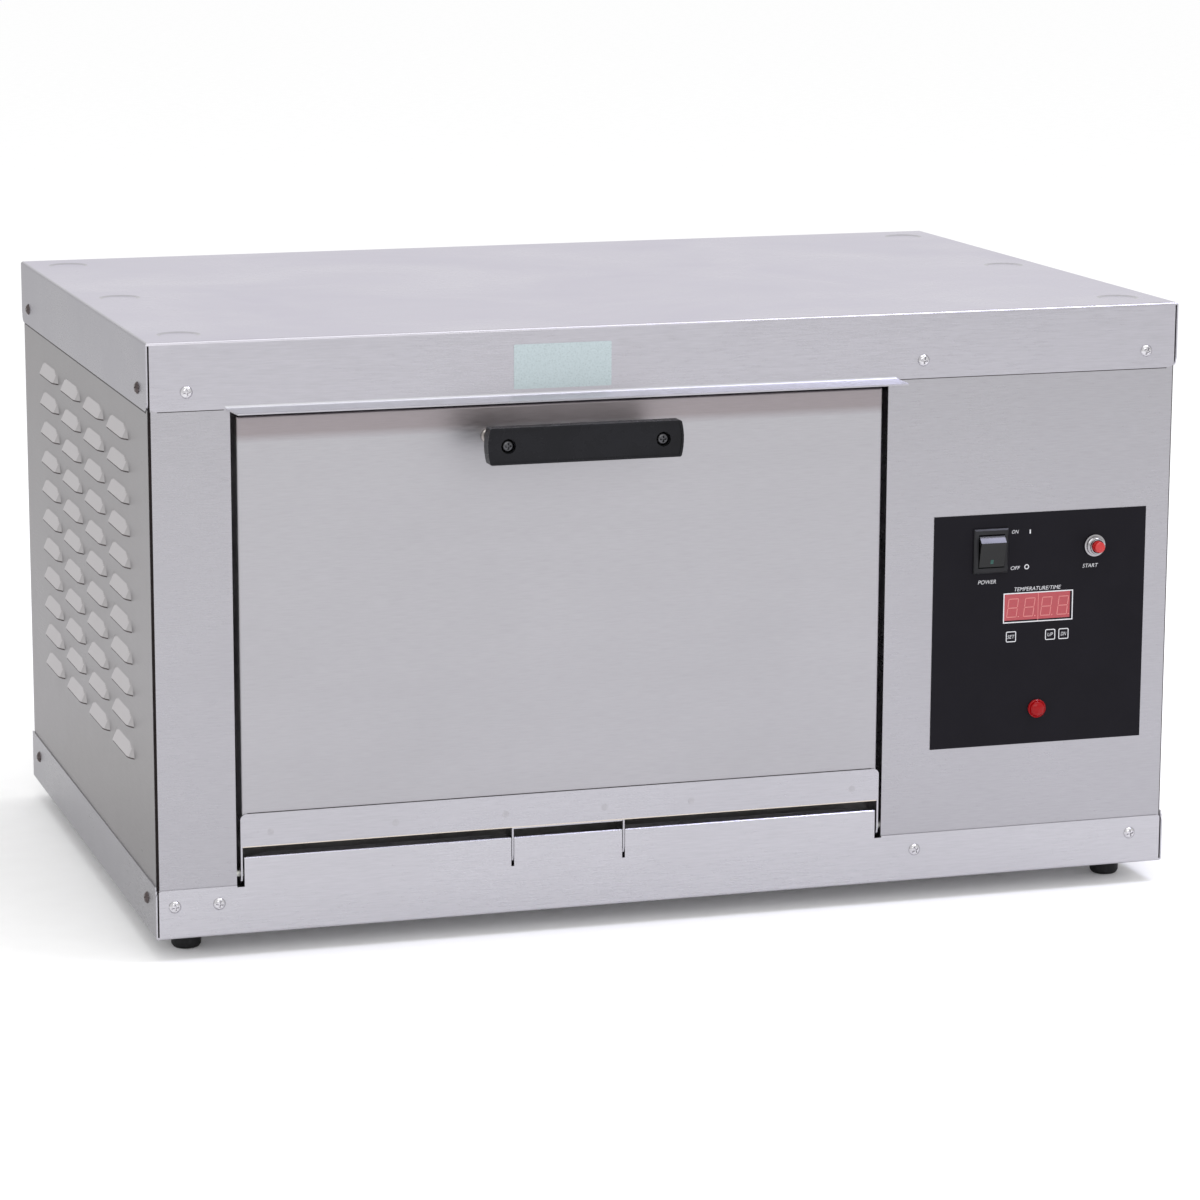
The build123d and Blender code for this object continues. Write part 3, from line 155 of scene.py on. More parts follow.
def shade(colour, factor):
    return tuple(min(1.0, c * factor) for c in colour) + (1.0,)


def brushed(name, colour, rough=0.3, streak=0.05, smudge=0.05, edge=1.0, side_shade_edge=None, shadow=None,
            top=None):
    """Rolled and brushed sheet: its grain runs along X on most faces and along Y on the sides.

    The edge is its reflection at a low angle. The faces to the sides can have a darker one of their own, a
    painted shade. A shadow is (low, high, tint): between these two heights, in metres, the sheet passes into
    a duller and warmer tint. A top is a paler tint on the faces that look up, painted light from above.
    """
    m = Nodes(name)
    facing = m.parts(m.coordinates.outputs["Normal"])
    to_side = m.math("GREATER_THAN", m.math("ABSOLUTE", facing[0]), 0.7)
    along_x, along_y = m.place((80, 1300, 1300)), m.place((1300, 80, 1300))
    stretched = m.add("Mix", {0: to_side, 4: along_x, 5: along_y}, data_type="VECTOR").outputs[1]
    grain = m.noise(stretched, 1.0, 3.0, 0.6)
    broad = m.noise(m.place((5, 60, 60)), 1.0, 2.0)
    smear = m.noise(m.place((7, 7, 9)), 1.0, 3.0, 0.6, 0.6)
    fine = m.blend(m.spread(grain, 0, 1), shade(colour, 1 - streak), shade(colour, 1 + streak))
    soft = m.blend(m.spread(broad, 0, 1), shade((1, 1, 1), 1 - streak * 0.3), (1, 1, 1, 1))
    tone = m.blend(1.0, fine, soft, "MULTIPLY")
    roughness = m.math("ADD", m.spread(grain, rough - 0.04, rough + 0.06), m.spread(smear, -smudge, smudge))
    if shadow:
        low, high, tint = shadow
        height = m.parts(m.coordinates.outputs["Object"])[2]
        tone = m.blend(m.spread(height, 0, 1, low, high), tone, tint + (1.0,), "MULTIPLY")
    # Faces that look up get a paler, bluer tint: painted light from above.
    if top:
        painted_top_light = m.math("GREATER_THAN", facing[2], 0.97)
        tone = m.blend(painted_top_light, tone, top + (1.0,), "MULTIPLY")
    low_angle = (edge, edge, edge, 1.0)
    # Faces to the sides take a darker low-angle reflection of their own: painted shade.
    if side_shade_edge:
        low_angle = m.blend(to_side, low_angle, (side_shade_edge, side_shade_edge, side_shade_edge, 1.0))
    return m.finish(tone, roughness, grain, 0.000004, Metallic=1.0, Specular_Tint=low_angle)


def metal(name, colour, rough, mottling=0.08, scale=60.0, height=0.000004):
    """Plated, satin or polished metal with faint mottling, stains and fine pits."""
    m = Nodes(name)
    place = m.place()
    cloud = m.noise(place, scale, 4.0, 0.6, 0.4)
    pits = m.noise(place, scale * 12, 2.0)
    tone = m.blend(m.spread(cloud, 0, 1), shade(colour, 1 - mottling), shade(colour, 1 + mottling))
    roughness = m.spread(cloud, max(0.03, rough - 0.06), rough + 0.06)
    return m.finish(tone, roughness, pits, height, Metallic=1.0)


def moulded(name, colour, rough, grain=1500.0, height=0.00002, wear=0.25, **constants):
    """Moulded plastic, rubber or film: fine grain, paler rubbed patches and uneven gloss."""
    m = Nodes(name)
    place = m.place()
    pebble = m.noise(place, grain, 3.0, 0.6)
    rub = m.noise(place, 35.0, 4.0, 0.6, 0.3)
    tone = m.blend(m.spread(rub, 0, 1), shade(colour, 1 - wear), shade(colour, 1 + wear))
    roughness = m.spread(rub, rough - 0.05, rough + 0.07)
    return m.finish(tone, roughness, pebble, height, **constants)


def wool(name, colour):
    """Pressed mineral fibre."""
    m = Nodes(name)
    fibres = m.noise(m.place((500, 90, 90)), 1.0, 5.0, 0.7, 2.0)
    clumps = m.noise(m.place((40, 40, 40)), 1.0, 4.0)
    dark = m.blend(m.spread(fibres, 0, 1), shade(colour, 0.72), shade(colour, 1.08))
    tone = m.blend(m.spread(clumps, 0, 0.5), dark, shade(colour, 0.85))
    return m.finish(tone, m.spread(fibres, 0.85, 1.0), fibres, 0.0006)


def circuit(name, colour):
    """A board's green mask with paler copper runs under it."""
    m = Nodes(name)
    tracks = m.add("TexVoronoi", {"Vector": m.place(), "Scale": 220.0}, distance="CHEBYCHEV",
                   feature="DISTANCE_TO_EDGE").outputs[0]
    tone = m.blend(m.spread(tracks, 0, 1, 0.04, 0.09), shade(colour, 1.7), shade(colour, 0.9))
    return m.finish(tone, m.spread(tracks, 0.25, 0.4, 0.0, 0.4), tracks, 0.00003)


def printed(name, colour, rough=0.45):
    """Screen-printed ink with slightly uneven colour."""
    m = Nodes(name)
    speck = m.noise(m.place(), 900.0, 3.0)
    tone = m.blend(m.spread(speck, 0, 1), shade(colour, 0.86), shade(colour, 1.0))
    return m.finish(tone, m.spread(speck, rough - 0.06, rough + 0.1), speck, 0.000004)


# These sheets are one stainless steel, each given its own tone and low-angle reflection so that it comes out
# as lit where it faces: painted light and shade.
lid_steel = brushed("lid_sheet", (0.43, 0.42, 0.452), side_shade_edge=0.68, top=(1.13, 1.1, 1.2))
base_steel = brushed("base_sheet", (0.468, 0.46, 0.485), edge=0.9, side_shade_edge=0.66)
front_steel = brushed("front_sheet", (0.375, 0.367, 0.388), edge=0.9)
side_steel = brushed("side_sheet", (0.42, 0.407, 0.412), rough=0.34, streak=0.04, edge=0.555)
hood_highlight_steel = brushed("louvre_sheet", (0.53, 0.51, 0.52), rough=0.36, streak=0.03, edge=0.8)
lip_highlight_steel = brushed("lip_sheet", (0.47, 0.47, 0.49), rough=0.42, streak=0.03, smudge=0.03, edge=0.9)
shadow_start, shadow_full = 18, 12
hood_shadow = (*mm(door_high[2] - shadow_start, door_high[2] - shadow_full), (0.72, 0.66, 0.65))
door_steel = brushed("door_sheet", (0.395, 0.387, 0.405), rough=0.4, edge=0.9, shadow=hood_shadow)
materials = {
    "stainless": brushed("steel_sheet", (0.435, 0.427, 0.452), edge=0.9),
    "liner_steel": brushed("liner_sheet", (0.36, 0.35, 0.35), rough=0.38, streak=0.08, smudge=0.08),
    "plated_steel": metal("zinc_plate", (0.5, 0.5, 0.47), 0.38, mottling=0.14, scale=90.0),
    "chrome": metal("bright_plate", (0.66, 0.66, 0.68), 0.12, mottling=0.05, scale=150.0, height=0.000002),
    "rack_wire": metal("rack_plate", (0.6, 0.6, 0.6), 0.2, mottling=0.1, scale=120.0),
    "element_tube": metal("oxidised_tube", (0.16, 0.14, 0.13), 0.6, mottling=0.3, scale=200.0,
                          height=0.00003),
    "rubber": moulded("foot_rubber", (0.011, 0.011, 0.012), 0.65, 900.0, 0.00006, Specular_IOR_Level=0.3),
    "black_plastic": moulded("black_moulding", (0.014, 0.014, 0.016), 0.34, Specular_IOR_Level=0.22),
    "grey_plastic": moulded("grey_moulding", (0.2, 0.2, 0.21), 0.45, wear=0.1),
    "overlay_film": moulded("black_film", (0.0085, 0.0078, 0.0105), 0.42, 2600.0, 0.000012, wear=0.08,
                            Specular_IOR_Level=0.07),
    "red_plastic": moulded("red_cap", (0.44, 0.012, 0.012), 0.22, 1200.0, 0.000006, wear=0.08,
                           Coat_Weight=0.15),
    "red_filter": moulded("red_window", (0.34, 0.035, 0.045), 0.2, 700.0, 0.000004, wear=0.06,
                          Coat_Weight=0.3),
    "board": circuit("board_mask", (0.02, 0.12, 0.04)),
    "mineral_wool": wool("pressed_wool", (0.62, 0.58, 0.45)),
}
lamp_red = moulded("lamp_lens", (0.27, 0.002, 0.004), 0.1, 900.0, 0.000004, wear=0.05, Specular_IOR_Level=0.2)
green_lens = moulded("green_lens", (0.0, 0.06, 0.045), 0.2, 900.0, 0.000004, wear=0.1)
paddle_black = moulded("paddle_moulding", (0.003, 0.003, 0.003), 0.1, 900.0, 0.000001,
                       Specular_IOR_Level=0.36)
bar_black = moulded("bar_moulding", (0.008, 0.008, 0.01), 0.26, 1500.0, 0.000008, Specular_IOR_Level=0.15)
louvre_shadow_rim = moulded("louvre_shadow_rim", (0.07, 0.06, 0.06), 0.7, 900.0, 0.00001, wear=0.3, Specular_IOR_Level=0.2)
# The seam and corner lines stand for the shade in the gaps between sheets: painted shadow.
seam_shadow = moulded("seam_line", (0.035, 0.03, 0.03), 0.7, 900.0, 0.00001, wear=0.3)
corner_shadow = moulded("corner_line", (0.012, 0.009, 0.009), 0.8, 900.0, 0.00001, wear=0.3,
                      Specular_IOR_Level=0.1)
# The posts and the button's collar are chrome, made darker to stand for the dark things they mirror: painted
# reflection.
collar_plate = metal("collar_plate", (0.34, 0.33, 0.34), 0.14, mottling=0.12, scale=260.0, height=0.000002)
post_plate = metal("post_plate", (0.26, 0.24, 0.23), 0.14, mottling=0.1, scale=200.0, height=0.000002)
bright_screw = metal("screw_plate", (0.56, 0.55, 0.57), 0.16, mottling=0.12, scale=300.0)
# The screws on the sides are the same as those on the front, made dark to stand for the dark things they
# mirror: painted reflection.
side_screw = metal("shaded_screw_plate", (0.09, 0.075, 0.075), 0.16, mottling=0.2, scale=300.0)
dark_screw = metal("blackened_screw", (0.08, 0.08, 0.085), 0.28, mottling=0.2, scale=200.0)
weld_mark = metal("weld_mark", (0.41, 0.4, 0.42), 0.38, scale=300.0)
bent_edge_highlight = metal("bent_edge_highlight", (0.6, 0.6, 0.68), 0.25, mottling=0.05, scale=200.0)
warm_edge_highlight = metal("warm_edge_highlight", (0.62, 0.56, 0.48), 0.3, mottling=0.05, scale=200.0)
white_ink = printed("white_ink", (0.66, 0.66, 0.68))
digit_ink = printed("digit_ink", (0.6, 0.2, 0.19))
pale_plate = printed("pale_plate", (0.45, 0.525, 0.54), 0.3)

own_finish = {
    "top_cover": lid_steel,
    "base_pan": base_steel,
    "front_panel": front_steel,
    "left_side_panel": side_steel,
    "right_side_panel": side_steel,
    "door_skin": door_steel,
    "handle_bar": bar_black,
}
for name, node in nodes.items():
    for holder in node.material_slots:
        holder.material = own_finish.get(name, materials[slot_of[name]])


# Making pieces
def piece(name, mesh, material, body, stands_for=None, smooth=True):
    """Puts a mesh in the scene as a piece that rides on a body."""
    part = bpy.data.objects.new(name, mesh)
    bpy.context.collection.objects.link(part)
    mesh.materials.clear()
    mesh.materials.append(material)
    for face in mesh.polygons:
        face.use_smooth = smooth
    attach(part, body)
    if stands_for:
        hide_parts(stands_for)
    return part


def to_mesh(name, bm):
    mesh = bpy.data.meshes.new(name)
    bmesh.ops.recalc_face_normals(bm, faces=bm.faces)
    bm.to_mesh(mesh)
    bm.free()
    return mesh


def patches(name, quads, material, body="oven"):
    """Flat four-cornered patches, each a list of corners in millimetres, anticlockwise from outside."""
    places = [mm(*corner) for corners in quads for corner in corners]
    mesh = bpy.data.meshes.new(name)
    mesh.from_pydata(places, [], [tuple(range(start, start + 4)) for start in range(0, len(places), 4)])
    piece(name, mesh, material, body, smooth=False)


def upright(x0, x1, y, z0, z1):
    """The corners of a patch that faces the front."""
    return [(x0, y, z0), (x1, y, z0), (x1, y, z1), (x0, y, z1)]


def sideways(x, y0, y1, z0, z1):
    """The corners of a patch that faces +X, or -X where its two ends are given from the back to the front."""
    return [(x, y0, z0), (x, y1, z0), (x, y1, z1), (x, y0, z1)]


def solids(name):
    """The (low, high) corners of each solid in a CAD node, in millimetres, sorted."""
    mesh = nodes[name].data
    parent = {}

    def root(key):
        while parent[key] != key:
            parent[key] = parent[parent[key]]
            key = parent[key]
        return key

    # Vertices in the same hundredth of a millimetre count as one
    keys = [tuple(round(c * 1e5) for c in v.co) for v in mesh.vertices]
    for key in keys:
        parent.setdefault(key, key)
    for face in mesh.polygons:
        first = root(keys[face.vertices[0]])
        for index in face.vertices[1:]:
            parent[root(keys[index])] = first
    groups = {}
    for key in parent:
        groups.setdefault(root(key), []).append([c / 100 for c in key])
    boxes = []
    for points in groups.values():
        boxes.append((Vector([min(p[i] for p in points) for i in range(3)]),
                      Vector([max(p[i] for p in points) for i in range(3)])))
    return sorted(boxes, key=lambda pair: tuple(pair[0]))


def fronts(name):
    """The middle of the front end of each solid in a CAD node."""
    return [Vector(((low.x + high.x) / 2, low.y, (low.z + high.z) / 2)) for low, high in solids(name)]


def basis(origin, axis):
    """A matrix whose Z runs along an axis from an origin, in millimetres."""
    z = Vector(axis).normalized()
    x = Vector((0, 0, 1)).cross(z) if abs(z.z) < 0.9 else Vector((1, 0, 0))
    x.normalize()
    y = z.cross(x)
    turned = Matrix((x, y, z)).transposed().to_4x4()
    return Matrix.Translation(Vector(origin)) @ turned


def join_rings(bm, rings, segments):
    """Faces between rings of vertices. A ring of one vertex is a point."""
    for lower, upper in zip(rings, rings[1:]):
        for step in range(segments):
            following = (step + 1) % segments
            corners = []
            for corner in (lower[step % len(lower)], lower[following % len(lower)],
                           upper[following % len(upper)], upper[step % len(upper)]):
                if corner not in corners:
                    corners.append(corner)
            if len(corners) > 2:
                bm.faces.new(corners)


def add_lathe(bm, profile, place, segments=48):
    """Turns a profile of (radius, height) round the local Z of a place. A radius of 0 closes it."""
    rings = []
    for radius, height in profile:
        ring = []
        for step in range(segments if radius else 1):
            angle = 2 * math.pi * step / segments
            point = place @ Vector((radius * math.cos(angle), radius * math.sin(angle), height))
            ring.append(bm.verts.new(point / 1000))
        rings.append(ring)
    join_rings(bm, rings, segments)


def lathes(name, profile, places, material, body, stands_for=None, segments=48):
    bm = bmesh.new()
    for place in places:
        add_lathe(bm, profile, place, segments)
    sharpen(piece(name, to_mesh(name, bm), material, body, stands_for))


def sharpen(part, angle=35):
    """Keeps real edges crisp on a smooth piece."""
    bm = bmesh.new()
    bm.from_mesh(part.data)
    for edge in bm.edges:
        if len(edge.link_faces) == 2 and edge.calc_face_angle(0) > math.radians(angle):
            edge.smooth = False
    bm.to_mesh(part.data)
    bm.free()


def rounded(profile, radius, steps=4):
    """Rounds the inner corners of a profile."""
    result = [profile[0]]
    for before, corner, after in zip(profile, profile[1:], profile[2:]):
        corner, first, last = Vector(corner), Vector(before), Vector(after)
        reach = min(radius, (first - corner).length / 2.2, (last - corner).length / 2.2)
        start = corner + (first - corner).normalized() * reach
        end = corner + (last - corner).normalized() * reach
        for step in range(steps + 1):
            t = step / steps
            result.append(tuple(start * (1 - t) ** 2 + corner * 2 * t * (1 - t) + end * t * t))
    result.append(profile[-1])
    return result


def add_screw(bm, place, radius, height, cross=0.62, segments=48):
    """A pan head with a cross recess. Its top is a fine polar grid pushed down in the recess.

    The cross is the reach of the recess's arms, as a share of the radius. The other shares are fixed.
    """
    circles, flat_share, dome_power, dome_drop = 26, 0.35, 2.4, 2.3
    arm_half_width, arm_slope, recess_depth = 0.13, 0.05, 0.55
    grid = []
    for circle in range(circles + 1):
        share = circle / circles
        row = []
        for step in range(segments if circle else 1):
            angle = 2 * math.pi * step / segments
            x, y = radius * share * math.cos(angle), radius * share * math.sin(angle)
            dome = height * (1 - max(0.0, share - flat_share) ** dome_power * dome_drop)
            arm = 0.0
            for along, across in ((x, y), (y, x)):
                inside = min(radius * arm_half_width - abs(across), radius * cross - abs(along))
                arm = max(arm, min(1.0, inside / (radius * arm_slope)))
            z = max(0.0, dome - arm * height * recess_depth)
            row.append(bm.verts.new((place @ Vector((x, y, z))) / 1000))
        grid.append(row)
    rim = []
    for step in range(segments):
        angle = 2 * math.pi * step / segments
        x, y = radius * math.cos(angle), radius * math.sin(angle)
        rim.append(bm.verts.new((place @ Vector((x, y, 0))) / 1000))
    join_rings(bm, grid + [rim], segments)


def screws(name, node, body, material, axis):
    """Detailed heads in place of those plain heads of a CAD node that stand along one axis."""
    bm = bmesh.new()
    centre = ((body_left + body_right) / 2, (body_front + body_back) / 2)
    first_turn, turn_between = 23, 37
    for number, (low, high) in enumerate(solids(node)):
        size = high - low
        if axis != min(range(3), key=lambda i: size[i]):
            continue
        start = (low + high) / 2
        out = Vector((0, 0, 0))
        out[axis] = 1 if start[axis] > centre[axis] else -1
        start[axis] = low[axis] if out[axis] > 0 else high[axis]
        slot_turn = math.radians(first_turn + turn_between * number)
        add_screw(bm, basis(start, out) @ Matrix.Rotation(slot_turn, 4, "Z"), max(size) / 2, size[axis])
    sharpen(piece(name, to_mesh(name, bm), material, body, node), 40)


# Screws and small turned parts, whose profiles are (radius, height)
across_body, along_body = 0, 1
for place in ("lid", "base"):
    screws(place + "_screw_heads", place + "_screws", "oven", bright_screw, along_body)
    screws(place + "_side_screw_heads", place + "_screws", "oven", side_screw, across_body)
screws("door_edge_screw_heads", "door_edge_screws", "door", dark_screw, across_body)

foot_profile = [(0, 5.5), (4.9, 5.5), (5.2, 0), (8.2, 0), (9.9, 2.2), (10.4, 15.1), (0, 15.1)]
feet = [basis(((low.x + high.x) / 2, (low.y + high.y) / 2, 0), (0, 0, 1)) for low, high in solids("feet")]
lathes("rubber_feet", rounded(foot_profile, 0.9), feet, materials["rubber"], "oven", "feet")

post_low, post_high = solids("handle_posts")[0]
post_length = post_high.y - post_low.y
post_radius, washer_radius, washer_height, washer_taper = 3.9, 5.4, 2.4, 0.6
post_profile = [(0, 0), (post_radius, 0), (post_radius, post_length - washer_height - washer_taper),
                (washer_radius, post_length - washer_height), (washer_radius, post_length), (0, post_length)]
posts = [basis(front, (0, 1, 0)) for front in fronts("handle_posts")]
lathes("bright_posts", rounded(post_profile, 0.4), posts, post_plate, "door", "handle_posts")

collar_radius, collar_tip_radius, collar_length, collar_taper = 7.4, 5.6, 7.0, 2.4
bar_collar_profile = [(0, 0), (collar_radius, 0), (collar_radius, collar_length - collar_taper),
                      (collar_tip_radius, collar_length), (0, collar_length)]
collars = [basis(front, (0, 1, 0)) for front in fronts("handle_collars")]
lathes("bar_collars", rounded(bar_collar_profile, 0.7), collars, materials["black_plastic"], "door",
       "handle_collars")


def handle_screw_mesh():
    """Heads sunk in the bar, each with a shank through a post to a nut behind the door's sheet."""
    recess, head_radius, head_height, cross = 3.4, 4.4, 2.2, 0.5
    shank_radius, shank_length, nut_radius, nut_height = 2.4, 45.6, 4.4, 2.8
    end = shank_length + nut_height
    shank = rounded([(0, 0), (shank_radius, 0), (shank_radius, shank_length), (nut_radius, shank_length),
                     (nut_radius, end), (0, end)], 0.2)
    bm = bmesh.new()
    for front in fronts("handle_collars"):
        seat = (front.x, box_mm("handle_bar")[0][1] + recess, front.z)
        add_screw(bm, basis(seat, (0, -1, 0)), head_radius, head_height, cross)
        add_lathe(bm, shank, basis(seat, (0, 1, 0)), 24)
    return to_mesh("handle_screw_heads", bm)


sharpen(piece("handle_screw_heads", handle_screw_mesh(), dark_screw, "door", "handle_screws"), 40)


# Rocker paddle, drawn as (depth, height) about its pivot and then tilted
bezel_low, bezel_high = box_mm("rocker_bezel")
pivot_depth, paddle_tilt = 4.5, math.radians(13)
pivot = Vector(((bezel_low[0] + bezel_high[0]) / 2, overlay_y + pivot_depth,
                (bezel_low[2] + bezel_high[2]) / 2))
paddle_place = Matrix.Translation(pivot) @ Matrix.Rotation(paddle_tilt, 4, "X")
paddle_radius, paddle_face, paddle_back, paddle_half = 13.1, 9.65, 4.0, 9.15
crown_depth, crown_height, crown_swell, face_hollow = 4.4, 12.0, 0.12, 0.3


def paddle_mesh():
    """A block with a slightly hollow face and nearly flat crowns, standing out at the top."""
    top = math.sqrt(paddle_radius ** 2 - paddle_face ** 2)
    first = math.atan2(crown_height, crown_depth)
    last = math.pi - math.acos(paddle_back / paddle_radius)
    back_radius = math.hypot(crown_depth, crown_height)
    end = []
    for step in range(7):
        share = step / 6
        swell = crown_swell * math.sin(math.pi * share)
        end.append((paddle_face + (crown_depth - paddle_face) * share + swell,
                    top + (crown_height - top) * share + swell))
    for step in range(1, 11):
        angle = first + (last - first) * step / 10
        end.append((back_radius * math.cos(angle), back_radius * math.sin(angle)))
    heights = [top * (1 - step / 4) for step in range(1, 8)]
    face = [(paddle_face - face_hollow * (1 - (height / top) ** 2), height) for height in heights]
    outline = end[::-1] + face + [(depth, -height) for depth, height in end]
    bm = bmesh.new()
    sides = [[bm.verts.new((paddle_place @ Vector((x, -depth, height))) / 1000) for depth, height in outline]
             for x in (-paddle_half, paddle_half)]
    for i in range(len(outline)):
        j = (i + 1) % len(outline)
        bm.faces.new((sides[0][i], sides[0][j], sides[1][j], sides[1][i]))
    for side in sides:
        bm.faces.new(side)
    return to_mesh("rocker_paddle", bm)


sharpen(piece("rocker_paddle", paddle_mesh(), paddle_black, "rocker", "power_rocker"), 20)
lens_half_width, lens_low, lens_high, lens_out = 1.1, -6.6, -3.6, 0.1
lens_corners = upright(-lens_half_width, lens_half_width, lens_out - paddle_face, lens_low, lens_high)
patches("rocker_indicator", [[paddle_place @ Vector(corner) for corner in lens_corners]], green_lens,
        "rocker")


# Start button and pilot lamp, as (radius, height) out of the panel
button = fronts("start_button")[0]
button.y = overlay_y
toward = basis(button, (0, -1, 0))
cap_profile = [(0, -9.0), (2.1, -9.0), (2.1, -1.0), (4.2, -1.0), (4.1, 8.0), (3.7, 10.4), (3.0, 10.9),
               (0, 11.0)]
lathes("start_cap", rounded(cap_profile, 0.5), [toward], materials["red_plastic"], "button",
       "start_button", 64)
collar_thread = [(5.5, 6.2), (5.2, 5.9), (5.6, 5.5), (5.3, 5.2), (5.8, 4.8), (5.5, 4.5)]
collar_profile = [(2.3, -9.0), (2.3, -5.1), (4.65, -5.1), (4.65, 7.0), (5.3, 7.0)] + collar_thread + [
    (6.4, 4.0), (6.6, 2.2), (7.6, 2.0), (7.7, 0), (5.5, 0), (5.5, -17.9), (2.3, -17.9), (2.3, -9.0)]
lathes("start_collar", collar_profile, [toward], collar_plate, "oven", "button_collar", 64)

lamp = fronts("pilot_lamp")[0]
lamp.y = overlay_y
dome_radius, dome_start, dome_height = 5.2, 1.6, 2.4
lens = [(0, -20.0), (4.7, -20.0), (4.7, 0), (6.4, 0), (6.4, 1.3), (5.9, 1.8), (5.2, 1.5)]
for step in range(8):
    angle = math.radians(90 * step / 8)
    lens.append((dome_radius * math.cos(angle), dome_start + dome_height * math.sin(angle)))
lens.append((0, dome_start + dome_height))
lathes("pilot_lens", lens, [basis(lamp, (0, -1, 0))], lamp_red, "oven", "pilot_lamp", 64)


# Printing on the control panel, and how far its layers stand out
ink_out, figure_out, inner_edge_out = 0.04, 0.03, 0.02


def lettering(name, words, x, z, width, height, body="oven", y=overlay_y):
    """Slanted capitals, scaled to a width and height in millimetres and laid on the panel."""
    slant, thinner = 0.22, -0.006
    data = bpy.data.curves.new(name, "FONT")
    data.body = words
    data.size = 1.0
    data.shear = slant if len(words) > 1 else 0
    data.offset = thinner
    holder = bpy.data.objects.new(name + "_text", data)
    bpy.context.collection.objects.link(holder)
    bpy.context.view_layer.update()
    mesh = bpy.data.meshes.new_from_object(holder)
    bpy.data.objects.remove(holder)
    xs = [v.co.x for v in mesh.vertices]
    ys = [v.co.y for v in mesh.vertices]
    x0, x1, y0, y1 = min(xs), max(xs), min(ys), max(ys)
    for v in mesh.vertices:
        across = (v.co.x - (x0 + x1) / 2) / (x1 - x0) * width
        rise = (v.co.y - (y0 + y1) / 2) / (y1 - y0) * height
        v.co = mm(x + across, y - ink_out, z + rise)
    piece(name, mesh, white_ink, body, smooth=False)


def round_loop(half_x, half_z, radius, steps=5):
    """The outline of a rectangle with round corners, about its middle."""
    points = []
    for sx, sz, start in ((1, 1, 0), (-1, 1, 90), (-1, -1, 180), (1, -1, 270)):
        for step in range(steps + 1):
            angle = math.radians(start + 90 * step / steps)
            points.append((sx * (half_x - radius) + radius * math.cos(angle),
                           sz * (half_z - radius) + radius * math.sin(angle)))
    return points


def printed_ring(name, x, z, half_x, half_z, width, radius, body="oven", y=overlay_y):
    """A rounded outline printed on the panel."""
    bm = bmesh.new()
    outer_loop = round_loop(half_x, half_z, radius)
    inner_loop = round_loop(half_x - width, half_z - width, max(0.05, radius - width))
    outer, inner = [[bm.verts.new(mm(x + a, y - ink_out, z + b)) for a, b in loop]
                    for loop in (outer_loop, inner_loop)]
    for i in range(len(outer)):
        j = (i + 1) % len(outer)
        bm.faces.new((outer[i], outer[j], inner[j], inner[i]))
    piece(name, to_mesh(name, bm), white_ink, body, smooth=False)


def from_corner(x, z):
    """A place on the front measured from the body's left edge and base."""
    return body_left + x, base_z + z


for name, words, x, z, width, height in (
    ("word_on", "ON", 600.8, 240.6, 4.9, 2.5),
    ("mark_on", "I", 611.8, 240.2, 0.9, 2.8),
    ("word_off", "OFF", 601.5, 215.4, 7.0, 2.5),
    ("word_power", "POWER", 580.7, 206.7, 13.2, 2.7),
    ("word_start", "START", 657.1, 214.2, 11.6, 2.6),
    ("word_readout", "TEMPERATURE/TIME", 618.4, 200.4, 34.5, 2.7),
):
    lettering(name, words, *from_corner(x, z), width, height)
mark_radius, outline_width = 1.75, 0.6
printed_ring("mark_off", *from_corner(609.8, 215.8), mark_radius, mark_radius, outline_width, mark_radius)

key_half, key_corner, key_word_height = 3.75, 1.0, 2.5
for node, body, words, width in (
    ("key_set", "set_key", "SET", 5.4),
    ("key_up", "up_key", "UP", 4.0),
    ("key_down", "down_key", "DN", 4.0),
):
    front = fronts(node)[0]
    lettering(node + "_word", words, front.x, front.z, width, key_word_height, body, front.y)
    printed_ring(node + "_outline", front.x, front.z, key_half, key_half, outline_width, key_corner, body,
                 front.y)


# Display: four unlit figures, the joint of its two modules and the dark edge inside its window
window_low, window_high = solids("display_window")[0]
window_x, window_z = (window_low.x + window_high.x) / 2, (window_low.z + window_high.z) / 2
half_x, half_z = (window_high.x - window_low.x) / 2, (window_high.z - window_low.z) / 2
frame_width, frame_corner = 0.75, 0.3
printed_ring("window_frame", window_x, window_z, half_x + frame_width, half_z + frame_width, frame_width,
             frame_corner)

figure_centres = (-18.9, -6.6, 6.0, 18.3)
tall, wide, pen, lean, joint_half = 12.6, 7.0, 0.55, 0.12, 0.2
dot_left, dot_right, dot_low, dot_high = wide / 2 + 1.2, wide / 2 + 2.0, -tall / 2 - 0.3, -tall / 2 + 0.5


def stroke(centre, u0, u1, v0, v1):
    """The corners of a leaning stroke, measured from the middle of a figure."""
    return [(window_x + centre + u + v * lean, overlay_y - figure_out, window_z + v)
            for u, v in ((u0, v0), (u1, v0), (u1, v1), (u0, v1))]


strokes = []
for centre in figure_centres:
    for v in (-tall / 2, 0, tall / 2):
        strokes.append(stroke(centre, -wide / 2, wide / 2, v - pen / 2, v + pen / 2))
    for u in (-wide / 2, wide / 2):
        for v0, v1 in ((-tall / 2, -pen), (pen, tall / 2)):
            strokes.append(stroke(centre, u - pen / 2, u + pen / 2, v0, v1))
    strokes.append(stroke(centre, dot_left, dot_right, dot_low, dot_high))
strokes.append(upright(window_x - joint_half, window_x + joint_half, overlay_y - figure_out, window_low.z,
                       window_high.z))
patches("readout_digits", strokes, digit_ink)

inner_edge_low, inner_edge_right = 1.1, 1.5
inner_edge_y = overlay_y - inner_edge_out
patches("window_inner_edge",
        [upright(window_low.x, window_high.x, inner_edge_y, window_low.z, window_low.z + inner_edge_low),
         upright(window_high.x - inner_edge_right, window_high.x, inner_edge_y, window_low.z, window_high.z)],
        materials["overlay_film"])


